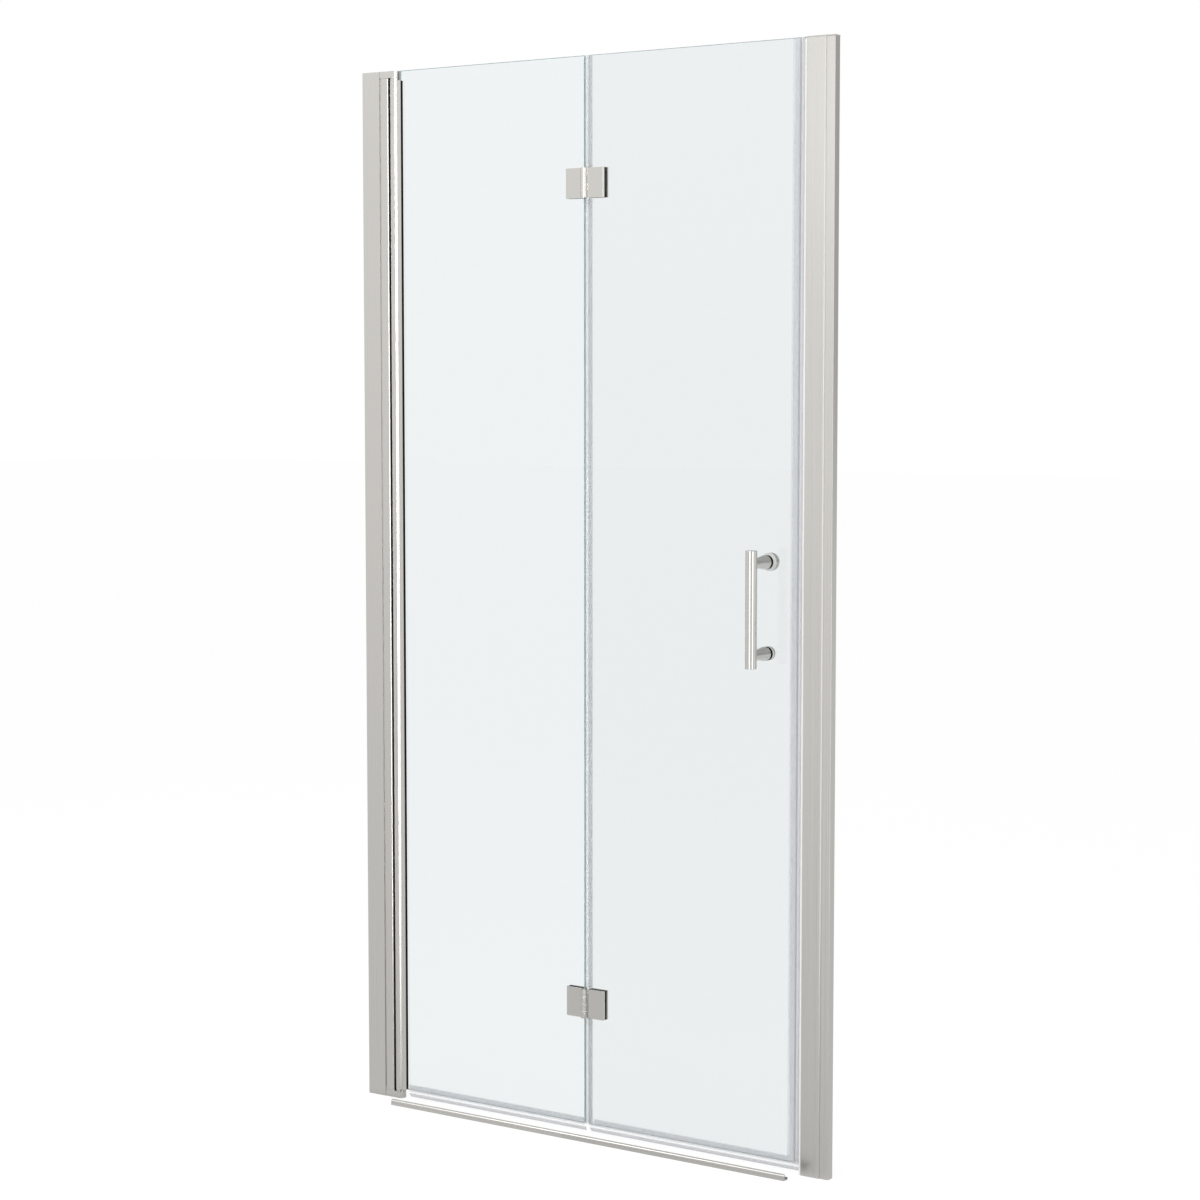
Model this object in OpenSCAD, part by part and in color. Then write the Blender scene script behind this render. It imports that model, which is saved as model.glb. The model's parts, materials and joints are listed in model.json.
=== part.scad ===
// Trackless bifold shower door for an opening between two walls.
// The pivot leaf turns on a round post beside the hinge-side jamb, and the fold leaf is hinged to it.
// Both leaves fold into the shower, and the fold leaf closes on a magnetic strip on the strike jamb.
// Frame: +X along the door towards the strike side, -Y outside the shower, +Z up, floor at z = 0.

/* [Opening] */
// Width between the two finished walls
opening_w = 957.5; // [900:0.5:1020]
// Height of the door above the floor
door_h = 1830; // [1600:1:2000]

/* [Wall profiles] */
// Depth of the outer profiles and diameter of the pivot post
profile_d = 18.2; // [17.5:0.1:22]
// Wall thickness of the aluminium extrusions
profile_wall = 1.5; // [1.2:0.05:1.8]
// Thickness of a wall channel's web, which the wall screws pass through
web_t = 2; // [1.5:0.1:3]
// Clearance between profiles that slide in each other
slide_gap = 0.15; // [0.1:0.01:0.25]
// Width of the hinge-side wall channel
hinge_channel_w = 38.4; // [36:0.1:42]
// Distance from the wall to the free face of the hinge jamb
hinge_jamb_reach = 56.1; // [52:0.1:60]
// Length of the hinge jamb inside its channel
hinge_jamb_overlap = 24.4; // [20:0.1:30]
// Distance from the wall to the free face of the strike jamb
strike_jamb_reach = 51.5; // [48:0.1:58]
// Width of the strike jamb
strike_jamb_w = 36; // [32:0.1:42]
// Width of the strike-side wall channel
strike_channel_w = 38; // [34:0.1:42]
// Corner radius of the jambs
jamb_corner_r = 2; // [0.8:0.1:2.6]
// Corner radius of the wall channels
channel_corner_r = 0.6; // [0.3:0.1:1]
// Thickness of the cap on the strike jamb
jamb_cap_t = 2; // [1.5:0.1:3]
// Length of the cap's plug inside the strike jamb
jamb_plug_h = 8; // [5:0.1:15]

/* [Fixings] */
// Radius of the wall screw holes in the channel webs
wall_hole_r = 2.6; // [2:0.1:3.5]
// Distance of the end wall screws from the ends of the channel
wall_hole_inset = 150; // [80:1:250]
// Diameter of the screws that fix the jambs in their channels
jamb_screw_d = 4; // [3:0.1:5]
// Head diameter of those screws
jamb_screw_head_d = 7.6; // [7:0.1:8.4]
// Head height of those screws
jamb_screw_head_h = 2.4; // [1.8:0.1:3]
// Length of those screws below the head
jamb_screw_l = 8; // [6:0.1:10]
// Length of the screws that hold the pivot blocks
block_screw_l = 6; // [5:0.1:6.5]
// Distance of the end jamb screws from the ends of the jamb
jamb_screw_inset = 120; // [60:1:250]
// Outer diameter of the snap covers over the screw heads
screw_cover_d = 11; // [10.5:0.1:14]
// Wall thickness of the snap covers
screw_cover_wall = 0.9; // [0.6:0.1:1.1]

/* [Pivot] */
// Gap between the hinge jamb and the pivot post, filled by the black gasket
post_gap = 1.8; // [1.5:0.1:5]
// Free gap between the jamb gasket and the pivot post
gasket_gap = 0.5; // [0.3:0.05:0.8]
// Width of the jamb gasket
jamb_gasket_w = 10; // [7:0.1:11]
// Thickness of the pivot blocks
block_t = 11.9; // [10:0.1:15]
// Length of a pivot block's plug inside the jamb
block_plug_h = 12; // [9:0.1:20]
// Diameter of the pivot pins
pivot_pin_d = 8; // [6:0.1:9]
// Wall thickness of the nylon pivot bushes
bush_wall = 1.5; // [1:0.1:2]
// Thickness of the bush flanges between block and post cap
bush_flange_t = 0.5; // [0.4:0.1:1]
// Height of the collars that cap the pivot post
post_cap_t = 3.9; // [3:0.1:6]
// Vertical play of the post between its blocks
pivot_play = 0.2; // [0.1:0.05:0.5]
// Radial running clearance of every pin in its bore
run_gap = 0.05; // [0.02:0.01:0.09]

/* [Glass] */
// Thickness of the tempered glass
glass_t = 6; // [5:0.1:8]
// Full width of the pivot leaf's glass, with its edge inside the post
pivot_glass_w = 405.6; // [370:0.1:440]
// Gap between the two panes at the hinges
leaf_gap = 9.8; // [8.4:0.1:12]
// Height of the glass above the floor
glass_lift = 16.8; // [16.4:0.1:22]
// Width of the ground arris on the glass edges
arris = 0.6; // [0.3:0.1:1.2]
// Distance from the pivot's axis to the end of the post's outer glazing lip
glazing_reach = 16; // [12:0.1:20]
// Thickness of the post's glazing lips
glazing_wall = 1.4; // [1.2:0.1:1.8]
// Thickness of the glazing gasket beside the glass
glazing_gasket_t = 0.6; // [0.5:0.05:1]
// Length of the glazing gasket that shows beyond the post
glazing_lip = 3.4; // [2:0.1:6]

/* [Hinges] */
// Distance of each hinge's middle from the top or bottom edge of the glass
hinge_inset = 211; // [150:1:320]
// Height of a hinge
hinge_h = 50; // [44:0.5:70]
// Reach of a hinge leaf from the pin
leaf_reach = 38.5; // [34:0.1:46]
// Thickness of the outer hinge plates
leaf_t = 5; // [4:0.1:5.4]
// Thickness of the clamp plates behind the glass
clamp_t = 4; // [3.4:0.1:6]
// Diameter of the hinge knuckles
knuckle_d = 12; // [10:0.1:12.4]
// Distance of the pin's axis in front of the hinge plates
knuckle_proud = 1; // [0.6:0.1:2]
// Diameter of the hinge pins
hinge_pin_d = 5; // [4:0.1:6]
// Thickness of the washers between the knuckles
washer_t = 0.6; // [0.4:0.1:1]
// Diameter of the clamp screws
clamp_screw_d = 6; // [5:0.1:7]
// Head diameter of the clamp screws
clamp_head_d = 11; // [10:0.1:13]
// Distance of the clamp screws from the pin
clamp_screw_x = 23; // [20:0.1:26]
// Vertical spacing of the two clamp screws
clamp_screw_spacing = 26; // [22:0.1:32]

/* [Seals] */
// Wall thickness of the clear seals
seal_wall = 1; // [0.8:0.05:1.3]
// Height of the bottom seals' legs on the glass
bottom_leg_h = 9; // [7:0.1:16]
// Diameter of the bottom seals' tube
drip_tube_d = 7.4; // [6:0.1:8.2]
// Height of the drip lip above the floor
lip_lift = 3; // [2:0.1:5]
// Width of the centre seal's outer leg on the glass
centre_leg_w = 7.4; // [6:0.1:12]
// Width of the centre seal's inner leg on the glass
centre_inner_leg_w = 3.4; // [2:0.1:12]
// Width of the magnetic seal's legs on the glass
strike_leg_w = 12; // [8:0.1:16]
// Depth of the magnetic seal beyond the glass edge
strike_seal_w = 10.7; // [9:0.1:14]
// Width of the magnetic seal's nose across the glass
nose_w = 10; // [9:0.1:12]
// Thickness of the magnet in the nose
nose_magnet_t = 4; // [2:0.1:6]
// Free gap between the centre seal's bulb and the edge of the pivot leaf's glass
bulb_gap = 0.3; // [0.2:0.05:0.6]
// Thickness of the magnetic strip carrier on the strike jamb
strip_t = 3.6; // [3.2:0.1:5]
// Width of the magnetic strip carrier
strip_w = 13; // [11:0.1:14.5]
// Width of the magnet in the carrier
strip_magnet_w = 8.8; // [7:0.1:9.6]
// Free gap between the two magnetic strips when the door is shut
magnet_gap = 0.8; // [0.6:0.05:1.5]

/* [Handle] */
// Height of the handle's middle above the floor
handle_z = 923.3; // [800:0.5:1100]
// Distance of the handle from the closing edge of the glass
handle_inset = 55.9; // [45:0.1:80]
// Spacing of the two handle fixings
fixing_spacing = 148.4; // [128:0.1:160]
// Length of the handle bar
bar_l = 190; // [170:0.5:260]
// Diameter of the handle bar
bar_d = 19; // [16:0.1:25]
// Distance of the bar's axis from the glass
bar_standoff = 49.5; // [40:0.1:60]
// Diameter of a handle post's neck
neck_d = 17.8; // [12:0.1:18.6]
// Length of the neck, measured from the bar's axis
neck_l = 24; // [20:0.1:30]
// Diameter of a handle post's foot
foot_d = 22.8; // [20:0.1:26]
// Length of the foot's metal rim
foot_l = 4.5; // [1.2:0.1:6]
// Thickness of the rubber foot between a handle post and the glass
rubber_foot_t = 6.2; // [1:0.1:8]
// Diameter of the round knob inside the shower
knob_d = 29.3; // [24:0.1:36]
// Length of the round knob
knob_l = 10.5; // [9.5:0.1:16]
// Diameter of the lower fixing's cap head
cap_head_d = 22; // [18:0.1:26]
// Thickness of the lower fixing's cap head
cap_head_t = 4.5; // [3:0.1:7]

/* [Water bar] */
// Distance of the water bar in front of the posts
water_bar_ahead = 30.6; // [20:0.1:60]
// Front-to-back depth of the water bar
water_bar_d = 12.4; // [10:0.1:20]
// Height of the water bar
water_bar_h = 11; // [8:0.1:12]
// Thickness of the water bar's front wall
water_bar_wall = 3; // [2:0.1:4]
// Height of the water bar's rear lip
water_bar_lip = 4.3; // [3:0.1:6]
// Gap between the pivot post and the water bar's end, seen from the front
water_bar_gap_hinge = 9.8; // [0:0.1:20]
// Gap between the strike jamb and the water bar's end, seen from the front
water_bar_gap_strike = 4.5; // [0:0.1:20]

/* [Hidden] */
$fn = 48;

// Finishes
nickel = [0.78, 0.77, 0.74];
clear_glass = [0.80, 0.90, 0.89, 0.35];
clear_pvc = [0.86, 0.88, 0.88, 0.8];
black_rubber = [0.12, 0.12, 0.12];
white_nylon = [0.9, 0.9, 0.88];
grey_plastic = [0.7, 0.7, 0.68];
zinc = [0.6, 0.6, 0.6];

// General clearances and overshoot
seat = 0.1;       // clearance of a plug, tongue or root in its slot
screw_gap = 0.1;  // radial clearance of a screw in its hole
cut = 1;          // length by which a cutting shape passes the face it cuts
melt = 0.3;       // length by which two parts of one piece run into each other

// Depth: the middle plane of the glass is mid_y, and the whole door's box is centred on y = 0
pad_t = 1;  // thickness of the pads and gaskets between glass and metal
head_room = jamb_screw_head_h + 0.3;
screw_cover_h = head_room + screw_cover_wall;
front_reach = glass_t / 2 + bar_standoff + bar_d / 2;
back_reach = max(glass_t / 2 + pad_t + max(knob_l, clamp_t), profile_d / 2 + screw_cover_h);
mid_y = (front_reach - back_reach) / 2;
face_y = mid_y - profile_d / 2;
back_y = mid_y + profile_d / 2;
glass_front = mid_y - glass_t / 2;
glass_back = mid_y + glass_t / 2;

// Inner profiles lie inside the outer ones
slide_inset = profile_wall + slide_gap;
inner_face_y = face_y + slide_inset;
inner_back_y = back_y - slide_inset;

// Hinge side, from the wall to the first pane
wall_a = -opening_w / 2;
channel_a_end = wall_a + hinge_channel_w;
jamb_a_start = channel_a_end - hinge_jamb_overlap;
jamb_a_end = wall_a + hinge_jamb_reach;
post_r = profile_d / 2;
pivot_x = jamb_a_end + post_gap + post_r;
slot_floor_x = pivot_x - 1;
glazing_web = 2;
glass_a_start = slot_floor_x + glazing_web;
glass_a_end = glass_a_start + pivot_glass_w;
outer_lip_end = pivot_x + glazing_reach;
inner_lip_end = outer_lip_end - 2.4;
gasket_end = outer_lip_end + glazing_lip;
slot_half = glass_t / 2 + glazing_gasket_t;

// Hinge line and strike side
pin_x = glass_a_end + leaf_gap / 2;
glass_b_start = glass_a_end + leaf_gap;
wall_b = opening_w / 2;
strike_face = wall_b - strike_jamb_reach;
jamb_b_end = strike_face + strike_jamb_w;
channel_b_start = wall_b - strike_channel_w;
strip_face = strike_face - strip_t;
seal_face = strip_face - magnet_gap;
glass_b_end = seal_face - strike_seal_w;
handle_x = glass_b_end - handle_inset;

strip_wall = 0.7;
seal_end_gap = 0.3;

// Heights
glass_top = door_h;
post_bottom = block_t + bush_flange_t + post_cap_t;
post_top = door_h - post_bottom - pivot_play;
glazing_margin = 1.2;
lower_hinge_z = glass_lift + hinge_inset;
upper_hinge_z = glass_top - hinge_inset;
strike_h = door_h - jamb_cap_t;

// Pivot parts
pivot_pin_r = pivot_pin_d / 2;
bush_r = pivot_pin_r + run_gap + bush_wall;
block_skin = 1;
pin_tip_gap = 0.8;
bush_flange_r = post_r - 1.2;
port_r = 1.9;
port_x = pivot_x - (post_r + 1) / 2;
post_plug_h = 14;
root_w = 2.6;
root_head_w = 5.2;
root_head_t = 1.2;

// Hinge parts, drawn with the pin's axis at the origin
knuckle_r = knuckle_d / 2;
hinge_pin_r = hinge_pin_d / 2;
knuckle_count = 4;
knuckle_h = (hinge_h - (knuckle_count - 1) * washer_t) / knuckle_count;
knuckle_pitch = knuckle_h + washer_t;
knuckle_gap = 0.8;
plate_root = knuckle_r + knuckle_gap;
plate_y = knuckle_proud;
plate_chamfer = 1.4;
hinge_glass_front = plate_y + leaf_t + pad_t;
hinge_glass_back = hinge_glass_front + glass_t;
pin_y = glass_front - hinge_glass_front;
clamp_root = leaf_gap / 2 + 1;
clamp_screw_r = clamp_screw_d / 2;
sleeve_wall = 1.4;
clamp_sleeve_r = clamp_screw_r + screw_gap + sleeve_wall;
clamp_glass_hole_r = clamp_sleeve_r + seat;
head_cone_h = (clamp_head_d - clamp_screw_d) / 2;
thread_depth = 3.4;
seal_break = hinge_h / 2 + 1;

// Handle parts
stud_r = 3;
stud_bore_r = stud_r + run_gap;
handle_sleeve_r = 5.8;
handle_hole_r = handle_sleeve_r + seat;
bar_y = glass_front - bar_standoff;
foot_y = glass_front - rubber_foot_t;
knob_y = glass_back + pad_t;
upper_fixing_z = handle_z + fixing_spacing / 2;
lower_fixing_z = handle_z - fixing_spacing / 2;
bar_bore_depth = 6;
knob_bore_depth = 8;

wall_screw_zs = [for (i = [0:3]) wall_hole_inset + i * (door_h - 2 * wall_hole_inset) / 3];
jamb_screw_zs = [jamb_screw_inset, door_h / 2, door_h - jamb_screw_inset];
hinge_jamb_screw_x = (jamb_a_start + channel_a_end) / 2;
strike_jamb_screw_x = (channel_b_start + jamb_b_end) / 2;
block_screw_x = (channel_a_end + jamb_a_end) / 2;

// ---- helpers ----

// Rectangle between two opposite corners, with round corners
module plan_rect(x_a, y_a, x_b, y_b, r) {
  translate([x_a + r, y_a]) square([x_b - x_a - 2 * r, y_b - y_a]);
  translate([x_a, y_a + r]) square([x_b - x_a, y_b - y_a - 2 * r]);
  for (x = [x_a + r, x_b - r], y = [y_a + r, y_b - r]) translate([x, y]) circle(r);
}

// Plain rectangle between two opposite corners
module plan_box(x_a, y_a, x_b, y_b) {
  translate([x_a, y_a]) square([x_b - x_a, y_b - y_a]);
}

// Stands a plan outline up from z_a to z_b
module upright(z_a, z_b) {
  translate([0, 0, z_a]) linear_extrude(z_b - z_a) children();
}

// Runs a section, drawn as depth and height, along the door from x_a to x_b
module lengthwise(x_a, x_b) {
  translate([x_a, 0, 0]) rotate([90, 0, 90]) linear_extrude(x_b - x_a) children();
}

// Turns a shape drawn along +Z so that it points into the shower, from a point on the door
module inward(x, y, z) {
  translate([x, y, z]) rotate([-90, 0, 0]) children();
}

// Mirrors a bottom fitting to the top of the door
module at_top() {
  translate([0, 0, door_h]) mirror([0, 0, 1]) children();
}

module ring(r_out, r_in, h) {
  difference() {
    cylinder(r = r_out, h = h);
    translate([0, 0, -cut]) cylinder(r = r_in, h = h + 2 * cut);
  }
}

// ---- hinge side ----

// Holes for the wall screws through a web that starts at x
module wall_screw_holes(x) {
  for (z = wall_screw_zs)
    translate([x - cut, mid_y, z]) rotate([0, 90, 0]) cylinder(r = wall_hole_r, h = web_t + 2 * cut);
}

// Holes for the jamb screws through the two walls on the shower side
module jamb_screw_holes(x) {
  depth = profile_wall + slide_inset + cut;
  for (z = jamb_screw_zs)
    inward(x, back_y - depth, z) cylinder(r = jamb_screw_d / 2 + screw_gap, h = depth + cut);
}

module hinge_wall_channel() {
  color(nickel) difference() {
    upright(0, door_h) difference() {
      plan_rect(wall_a, face_y, channel_a_end, back_y, channel_corner_r);
      plan_box(wall_a + web_t, face_y + profile_wall, channel_a_end + cut, back_y - profile_wall);
    }
    wall_screw_holes(wall_a);
    jamb_screw_holes(hinge_jamb_screw_x);
  }
}

module hinge_jamb() {
  color(nickel) difference() {
    upright(block_t, door_h - block_t) difference() {
      plan_rect(jamb_a_start, inner_face_y, jamb_a_end, inner_back_y, jamb_corner_r);
      plan_box(jamb_a_start + profile_wall, inner_face_y + profile_wall,
               jamb_a_end - profile_wall, inner_back_y - profile_wall);
      plan_box(jamb_a_end - profile_wall - cut, mid_y - root_w / 2,
               jamb_a_end + cut, mid_y + root_w / 2);
    }
    jamb_screw_holes(hinge_jamb_screw_x);
    block_screw_hole();
    at_top() block_screw_hole();
  }
}

// The T-shaped root holds the strip in the slot of the jamb
module jamb_gasket() {
  root_x = jamb_a_end - profile_wall;
  color(black_rubber) upright(block_t, door_h - block_t) {
    plan_box(jamb_a_end, mid_y - jamb_gasket_w / 2, jamb_a_end + post_gap - gasket_gap,
             mid_y + jamb_gasket_w / 2);
    plan_box(root_x, mid_y - root_w / 2 + seat, jamb_a_end, mid_y + root_w / 2 - seat);
    plan_box(root_x - root_head_t, mid_y - root_head_w / 2, root_x, mid_y + root_head_w / 2);
  }
}

module block_screw_hole() {
  inward(block_screw_x, mid_y, block_t + block_plug_h / 2)
    cylinder(r = jamb_screw_d / 2 + screw_gap, h = profile_d / 2 + cut);
}

// Bottom block: it closes the jamb's end, plugs into it and carries the pivot bush
module pivot_block() {
  plug_clear = profile_wall + seat;
  difference() {
    union() {
      upright(0, block_t) plan_box(jamb_a_start, inner_face_y, pivot_x, inner_back_y);
      translate([pivot_x, mid_y, 0]) cylinder(r = post_r, h = block_t);
      upright(block_t, block_t + block_plug_h)
        plan_box(jamb_a_start + plug_clear, inner_face_y + plug_clear,
                 jamb_a_end - plug_clear - root_head_t, inner_back_y - plug_clear);
    }
    translate([pivot_x, mid_y, block_skin]) cylinder(r = bush_r, h = block_t);
    block_screw_hole();
  }
}

module top_pivot_block() {
  color(nickel) at_top() pivot_block();
}

module bottom_pivot_block() {
  color(nickel) pivot_block();
}

module pivot_bush() {
  translate([pivot_x, mid_y, 0]) difference() {
    union() {
      translate([0, 0, block_skin]) cylinder(r = bush_r, h = block_t - block_skin);
      translate([0, 0, block_t]) cylinder(r = bush_flange_r, h = bush_flange_t);
    }
    cylinder(r = pivot_pin_r + run_gap, h = block_t + bush_flange_t + cut);
  }
}

module top_pivot_bush() {
  color(white_nylon) at_top() pivot_bush();
}

module bottom_pivot_bush() {
  color(white_nylon) pivot_bush();
}

// Pan-head screw that enters from the shower side, with its head's seat at y
module pan_screw(x, y, z, length) {
  inward(x, y, z) {
    translate([0, 0, -length]) cylinder(r = jamb_screw_d / 2, h = length);
    cylinder(r = jamb_screw_head_d / 2, h = jamb_screw_head_h);
  }
}

module pivot_block_screws() {
  z = block_t + block_plug_h / 2;
  color(zinc) for (screw_z = [z, door_h - z])
    pan_screw(block_screw_x, inner_back_y, screw_z, block_screw_l);
}

module screw_covers(x) {
  draft = 0.4;
  for (z = jamb_screw_zs) inward(x, back_y, z) difference() {
    cylinder(r1 = screw_cover_d / 2, r2 = screw_cover_d / 2 - draft, h = screw_cover_h);
    translate([0, 0, -cut]) cylinder(r = screw_cover_d / 2 - screw_cover_wall, h = head_room + cut);
  }
}

module hinge_side_screws() {
  color(zinc) for (z = jamb_screw_zs) pan_screw(hinge_jamb_screw_x, back_y, z, jamb_screw_l);
}

module hinge_side_covers() {
  color(grey_plastic) screw_covers(hinge_jamb_screw_x);
}

// ---- strike side ----

module strike_wall_channel() {
  color(nickel) difference() {
    upright(0, strike_h) difference() {
      plan_rect(channel_b_start, inner_face_y, wall_b, inner_back_y, channel_corner_r);
      plan_box(channel_b_start - cut, inner_face_y + profile_wall,
               wall_b - web_t, inner_back_y - profile_wall);
    }
    wall_screw_holes(wall_b - web_t);
    jamb_screw_holes(strike_jamb_screw_x);
  }
}

// U profile with a slotted face, a shallow chamber behind it for the strip's root, and an inner web
module strike_jamb() {
  chamber_end = strike_face + profile_wall + root_head_t + seat;
  color(nickel) difference() {
    upright(0, strike_h) difference() {
      plan_rect(strike_face, face_y, jamb_b_end, back_y, jamb_corner_r);
      plan_box(strike_face - cut, mid_y - root_w / 2,
               strike_face + profile_wall + cut, mid_y + root_w / 2);
      plan_box(strike_face + profile_wall, face_y + profile_wall, chamber_end, back_y - profile_wall);
      plan_box(chamber_end + profile_wall, face_y + profile_wall,
               jamb_b_end + cut, back_y - profile_wall);
    }
    jamb_screw_holes(strike_jamb_screw_x);
  }
}

module strike_jamb_cap() {
  plug_clear = profile_wall + seat;
  plug_start = strike_face + 2 * profile_wall + root_head_t + 2 * seat;
  color(grey_plastic) {
    upright(strike_h, door_h) plan_rect(strike_face, face_y, wall_b, back_y, jamb_corner_r);
    upright(strike_h - jamb_plug_h, strike_h)
      plan_box(plug_start, face_y + plug_clear, channel_b_start - seat, back_y - plug_clear);
  }
}

// Hollow carrier that holds the jamb's magnet, with a T-shaped root in the jamb's slot
module strike_strip() {
  root_x = strike_face + profile_wall;
  chamber_half = strip_magnet_w / 2 + seat;
  color(clear_pvc) upright(0, strike_h) {
    difference() {
      plan_box(strip_face, mid_y - strip_w / 2, strike_face, mid_y + strip_w / 2);
      plan_box(strip_face + strip_wall, mid_y - chamber_half,
               strike_face - strip_wall, mid_y + chamber_half);
    }
    plan_box(strike_face, mid_y - root_w / 2 + seat, root_x, mid_y + root_w / 2 - seat);
    plan_box(root_x, mid_y - root_head_w / 2, root_x + root_head_t, mid_y + root_head_w / 2);
  }
}

module strike_strip_magnet() {
  color(white_nylon) upright(0, strike_h)
    plan_box(strip_face + strip_wall, mid_y - strip_magnet_w / 2, strike_face - strip_wall - seat,
             mid_y + strip_magnet_w / 2);
}

module strike_side_screws() {
  color(zinc) for (z = jamb_screw_zs) pan_screw(strike_jamb_screw_x, back_y, z, jamb_screw_l);
}

module strike_side_covers() {
  color(grey_plastic) screw_covers(strike_jamb_screw_x);
}

// Low bar that keeps water in: a round-topped front wall, a flat base and a small rear lip
module water_bar() {
  base_t = 1.4;
  front = face_y - water_bar_ahead - water_bar_d;
  rear = front + water_bar_d;
  wall_r = water_bar_wall / 2;
  lip_r = base_t / 2;
  color(nickel) lengthwise(pivot_x + post_r + water_bar_gap_hinge, strike_face - water_bar_gap_strike) {
    plan_box(front, 0, front + water_bar_wall, water_bar_h - wall_r);
    translate([front + wall_r, water_bar_h - wall_r]) circle(wall_r);
    plan_box(front, 0, rear, base_t);
    plan_box(rear - base_t, 0, rear, water_bar_lip - lip_r);
    translate([rear - lip_r, water_bar_lip - lip_r]) circle(lip_r);
  }
}

// ---- pivot leaf ----

// Round post with two lips that hold the glass: the inner one is a little shorter
module pivot_post() {
  lip_half = slot_half + glazing_wall;
  color(nickel) upright(post_bottom, post_top) difference() {
    union() {
      translate([pivot_x, mid_y]) circle(post_r);
      plan_box(pivot_x, mid_y - lip_half, outer_lip_end, mid_y);
      plan_box(pivot_x, mid_y, inner_lip_end, mid_y + lip_half);
    }
    plan_box(slot_floor_x, mid_y - slot_half, outer_lip_end + cut, mid_y + slot_half);
    translate([port_x, mid_y]) circle(port_r);
  }
}

// Collar with the pivot pin on one side and a plug for the post's port on the other
module post_cap() {
  collar_z = block_t + bush_flange_t;
  pin_z = block_skin + pin_tip_gap;
  translate([pivot_x, mid_y, collar_z]) cylinder(r = post_r, h = post_cap_t);
  translate([pivot_x, mid_y, pin_z]) cylinder(r = pivot_pin_r, h = collar_z - pin_z + cut);
  translate([port_x, mid_y, collar_z]) cylinder(r = port_r - run_gap, h = post_cap_t + post_plug_h);
}

module post_top_cap() {
  color(nickel) translate([0, 0, -pivot_play]) at_top() post_cap();
}

module post_bottom_cap() {
  color(nickel) post_cap();
}

// U-shaped strip in the post's slot: only its outer side shows beyond the post
module glazing_gasket() {
  color(black_rubber) upright(post_bottom + glazing_margin, post_top - glazing_margin) {
    plan_box(slot_floor_x, mid_y - slot_half, glass_a_start, mid_y + slot_half);
    plan_box(slot_floor_x, mid_y - slot_half, gasket_end, glass_front);
    plan_box(slot_floor_x, glass_back, inner_lip_end, mid_y + slot_half);
  }
}

// Pane with a ground arris on its edges
module pane(x_a, x_b) {
  intersection() {
    upright(glass_lift, glass_top) polygon([
      [x_a + arris, glass_front], [x_b - arris, glass_front], [x_b, glass_front + arris],
      [x_b, glass_back - arris], [x_b - arris, glass_back], [x_a + arris, glass_back],
      [x_a, glass_back - arris], [x_a, glass_front + arris]
    ]);
    lengthwise(x_a, x_b) polygon([
      [glass_front, glass_lift + arris], [glass_front + arris, glass_lift],
      [glass_back - arris, glass_lift], [glass_back, glass_lift + arris],
      [glass_back, glass_top - arris], [glass_back - arris, glass_top],
      [glass_front + arris, glass_top], [glass_front, glass_top - arris]
    ]);
  }
}

// Round hole through a pane
module glass_hole(x, z, r) {
  inward(x, glass_front - cut, z) cylinder(r = r, h = glass_t + 2 * cut);
}

// The two clamp screw positions of a hinge leaf, on the side given by -1 or 1
module at_clamp_screws(side, hinge_z) {
  for (dz = [-clamp_screw_spacing / 2, clamp_screw_spacing / 2])
    translate([pin_x + side * clamp_screw_x, 0, hinge_z + dz]) children();
}

module hinge_glass_holes(side) {
  for (z = [lower_hinge_z, upper_hinge_z]) at_clamp_screws(side, z) glass_hole(0, 0, clamp_glass_hole_r);
}

// The pane's edge in the post stops short of the post caps
module pivot_glass() {
  notch_end = inner_lip_end;
  notch_bottom = post_bottom + glazing_margin;
  notch_top = post_top - glazing_margin;
  color(clear_glass) difference() {
    pane(glass_a_start, glass_a_end);
    upright(-cut, notch_bottom)
      plan_box(glass_a_start - cut, glass_front - cut, notch_end, glass_back + cut);
    upright(notch_top, glass_top + cut)
      plan_box(glass_a_start - cut, glass_front - cut, notch_end, glass_back + cut);
    hinge_glass_holes(-1);
  }
}

// Section of a bottom seal below the glass: web, round tube and a lip that slopes into the shower
module drip_section() {
  web_bottom = glass_lift - seal_wall;
  tube_r = drip_tube_d / 2;
  tube_z = web_bottom - tube_r + melt;
  lip_y = mid_y + tube_r;
  plan_box(glass_front - seal_wall, web_bottom, glass_back + seal_wall, glass_lift);
  difference() {
    translate([mid_y, tube_z]) circle(tube_r);
    translate([mid_y, tube_z]) circle(tube_r - seal_wall);
  }
  polygon([
    [mid_y - seal_wall / 2, tube_z - tube_r + seal_wall / 2], [lip_y, lip_lift],
    [lip_y + seal_wall, lip_lift], [mid_y + seal_wall / 2 + 1, tube_z - tube_r + seal_wall]
  ]);
}

// Legs of a bottom seal on both faces of the glass
module bottom_leg_section() {
  plan_box(glass_front - seal_wall, glass_lift - seal_wall, glass_front, glass_lift + bottom_leg_h);
  plan_box(glass_back, glass_lift - seal_wall, glass_back + seal_wall, glass_lift + bottom_leg_h);
}

module pivot_bottom_seal() {
  start = gasket_end + seal_end_gap;
  color(clear_pvc) {
    lengthwise(start, glass_a_end) drip_section();
    lengthwise(start, glass_a_end) bottom_leg_section();
  }
}

// ---- hinges, with the pin's axis at the origin and the leaf on the +X side ----

// Height of the underside of knuckle i, counted from the bottom
function knuckle_z(i) = -hinge_h / 2 + i * knuckle_pitch;

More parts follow.
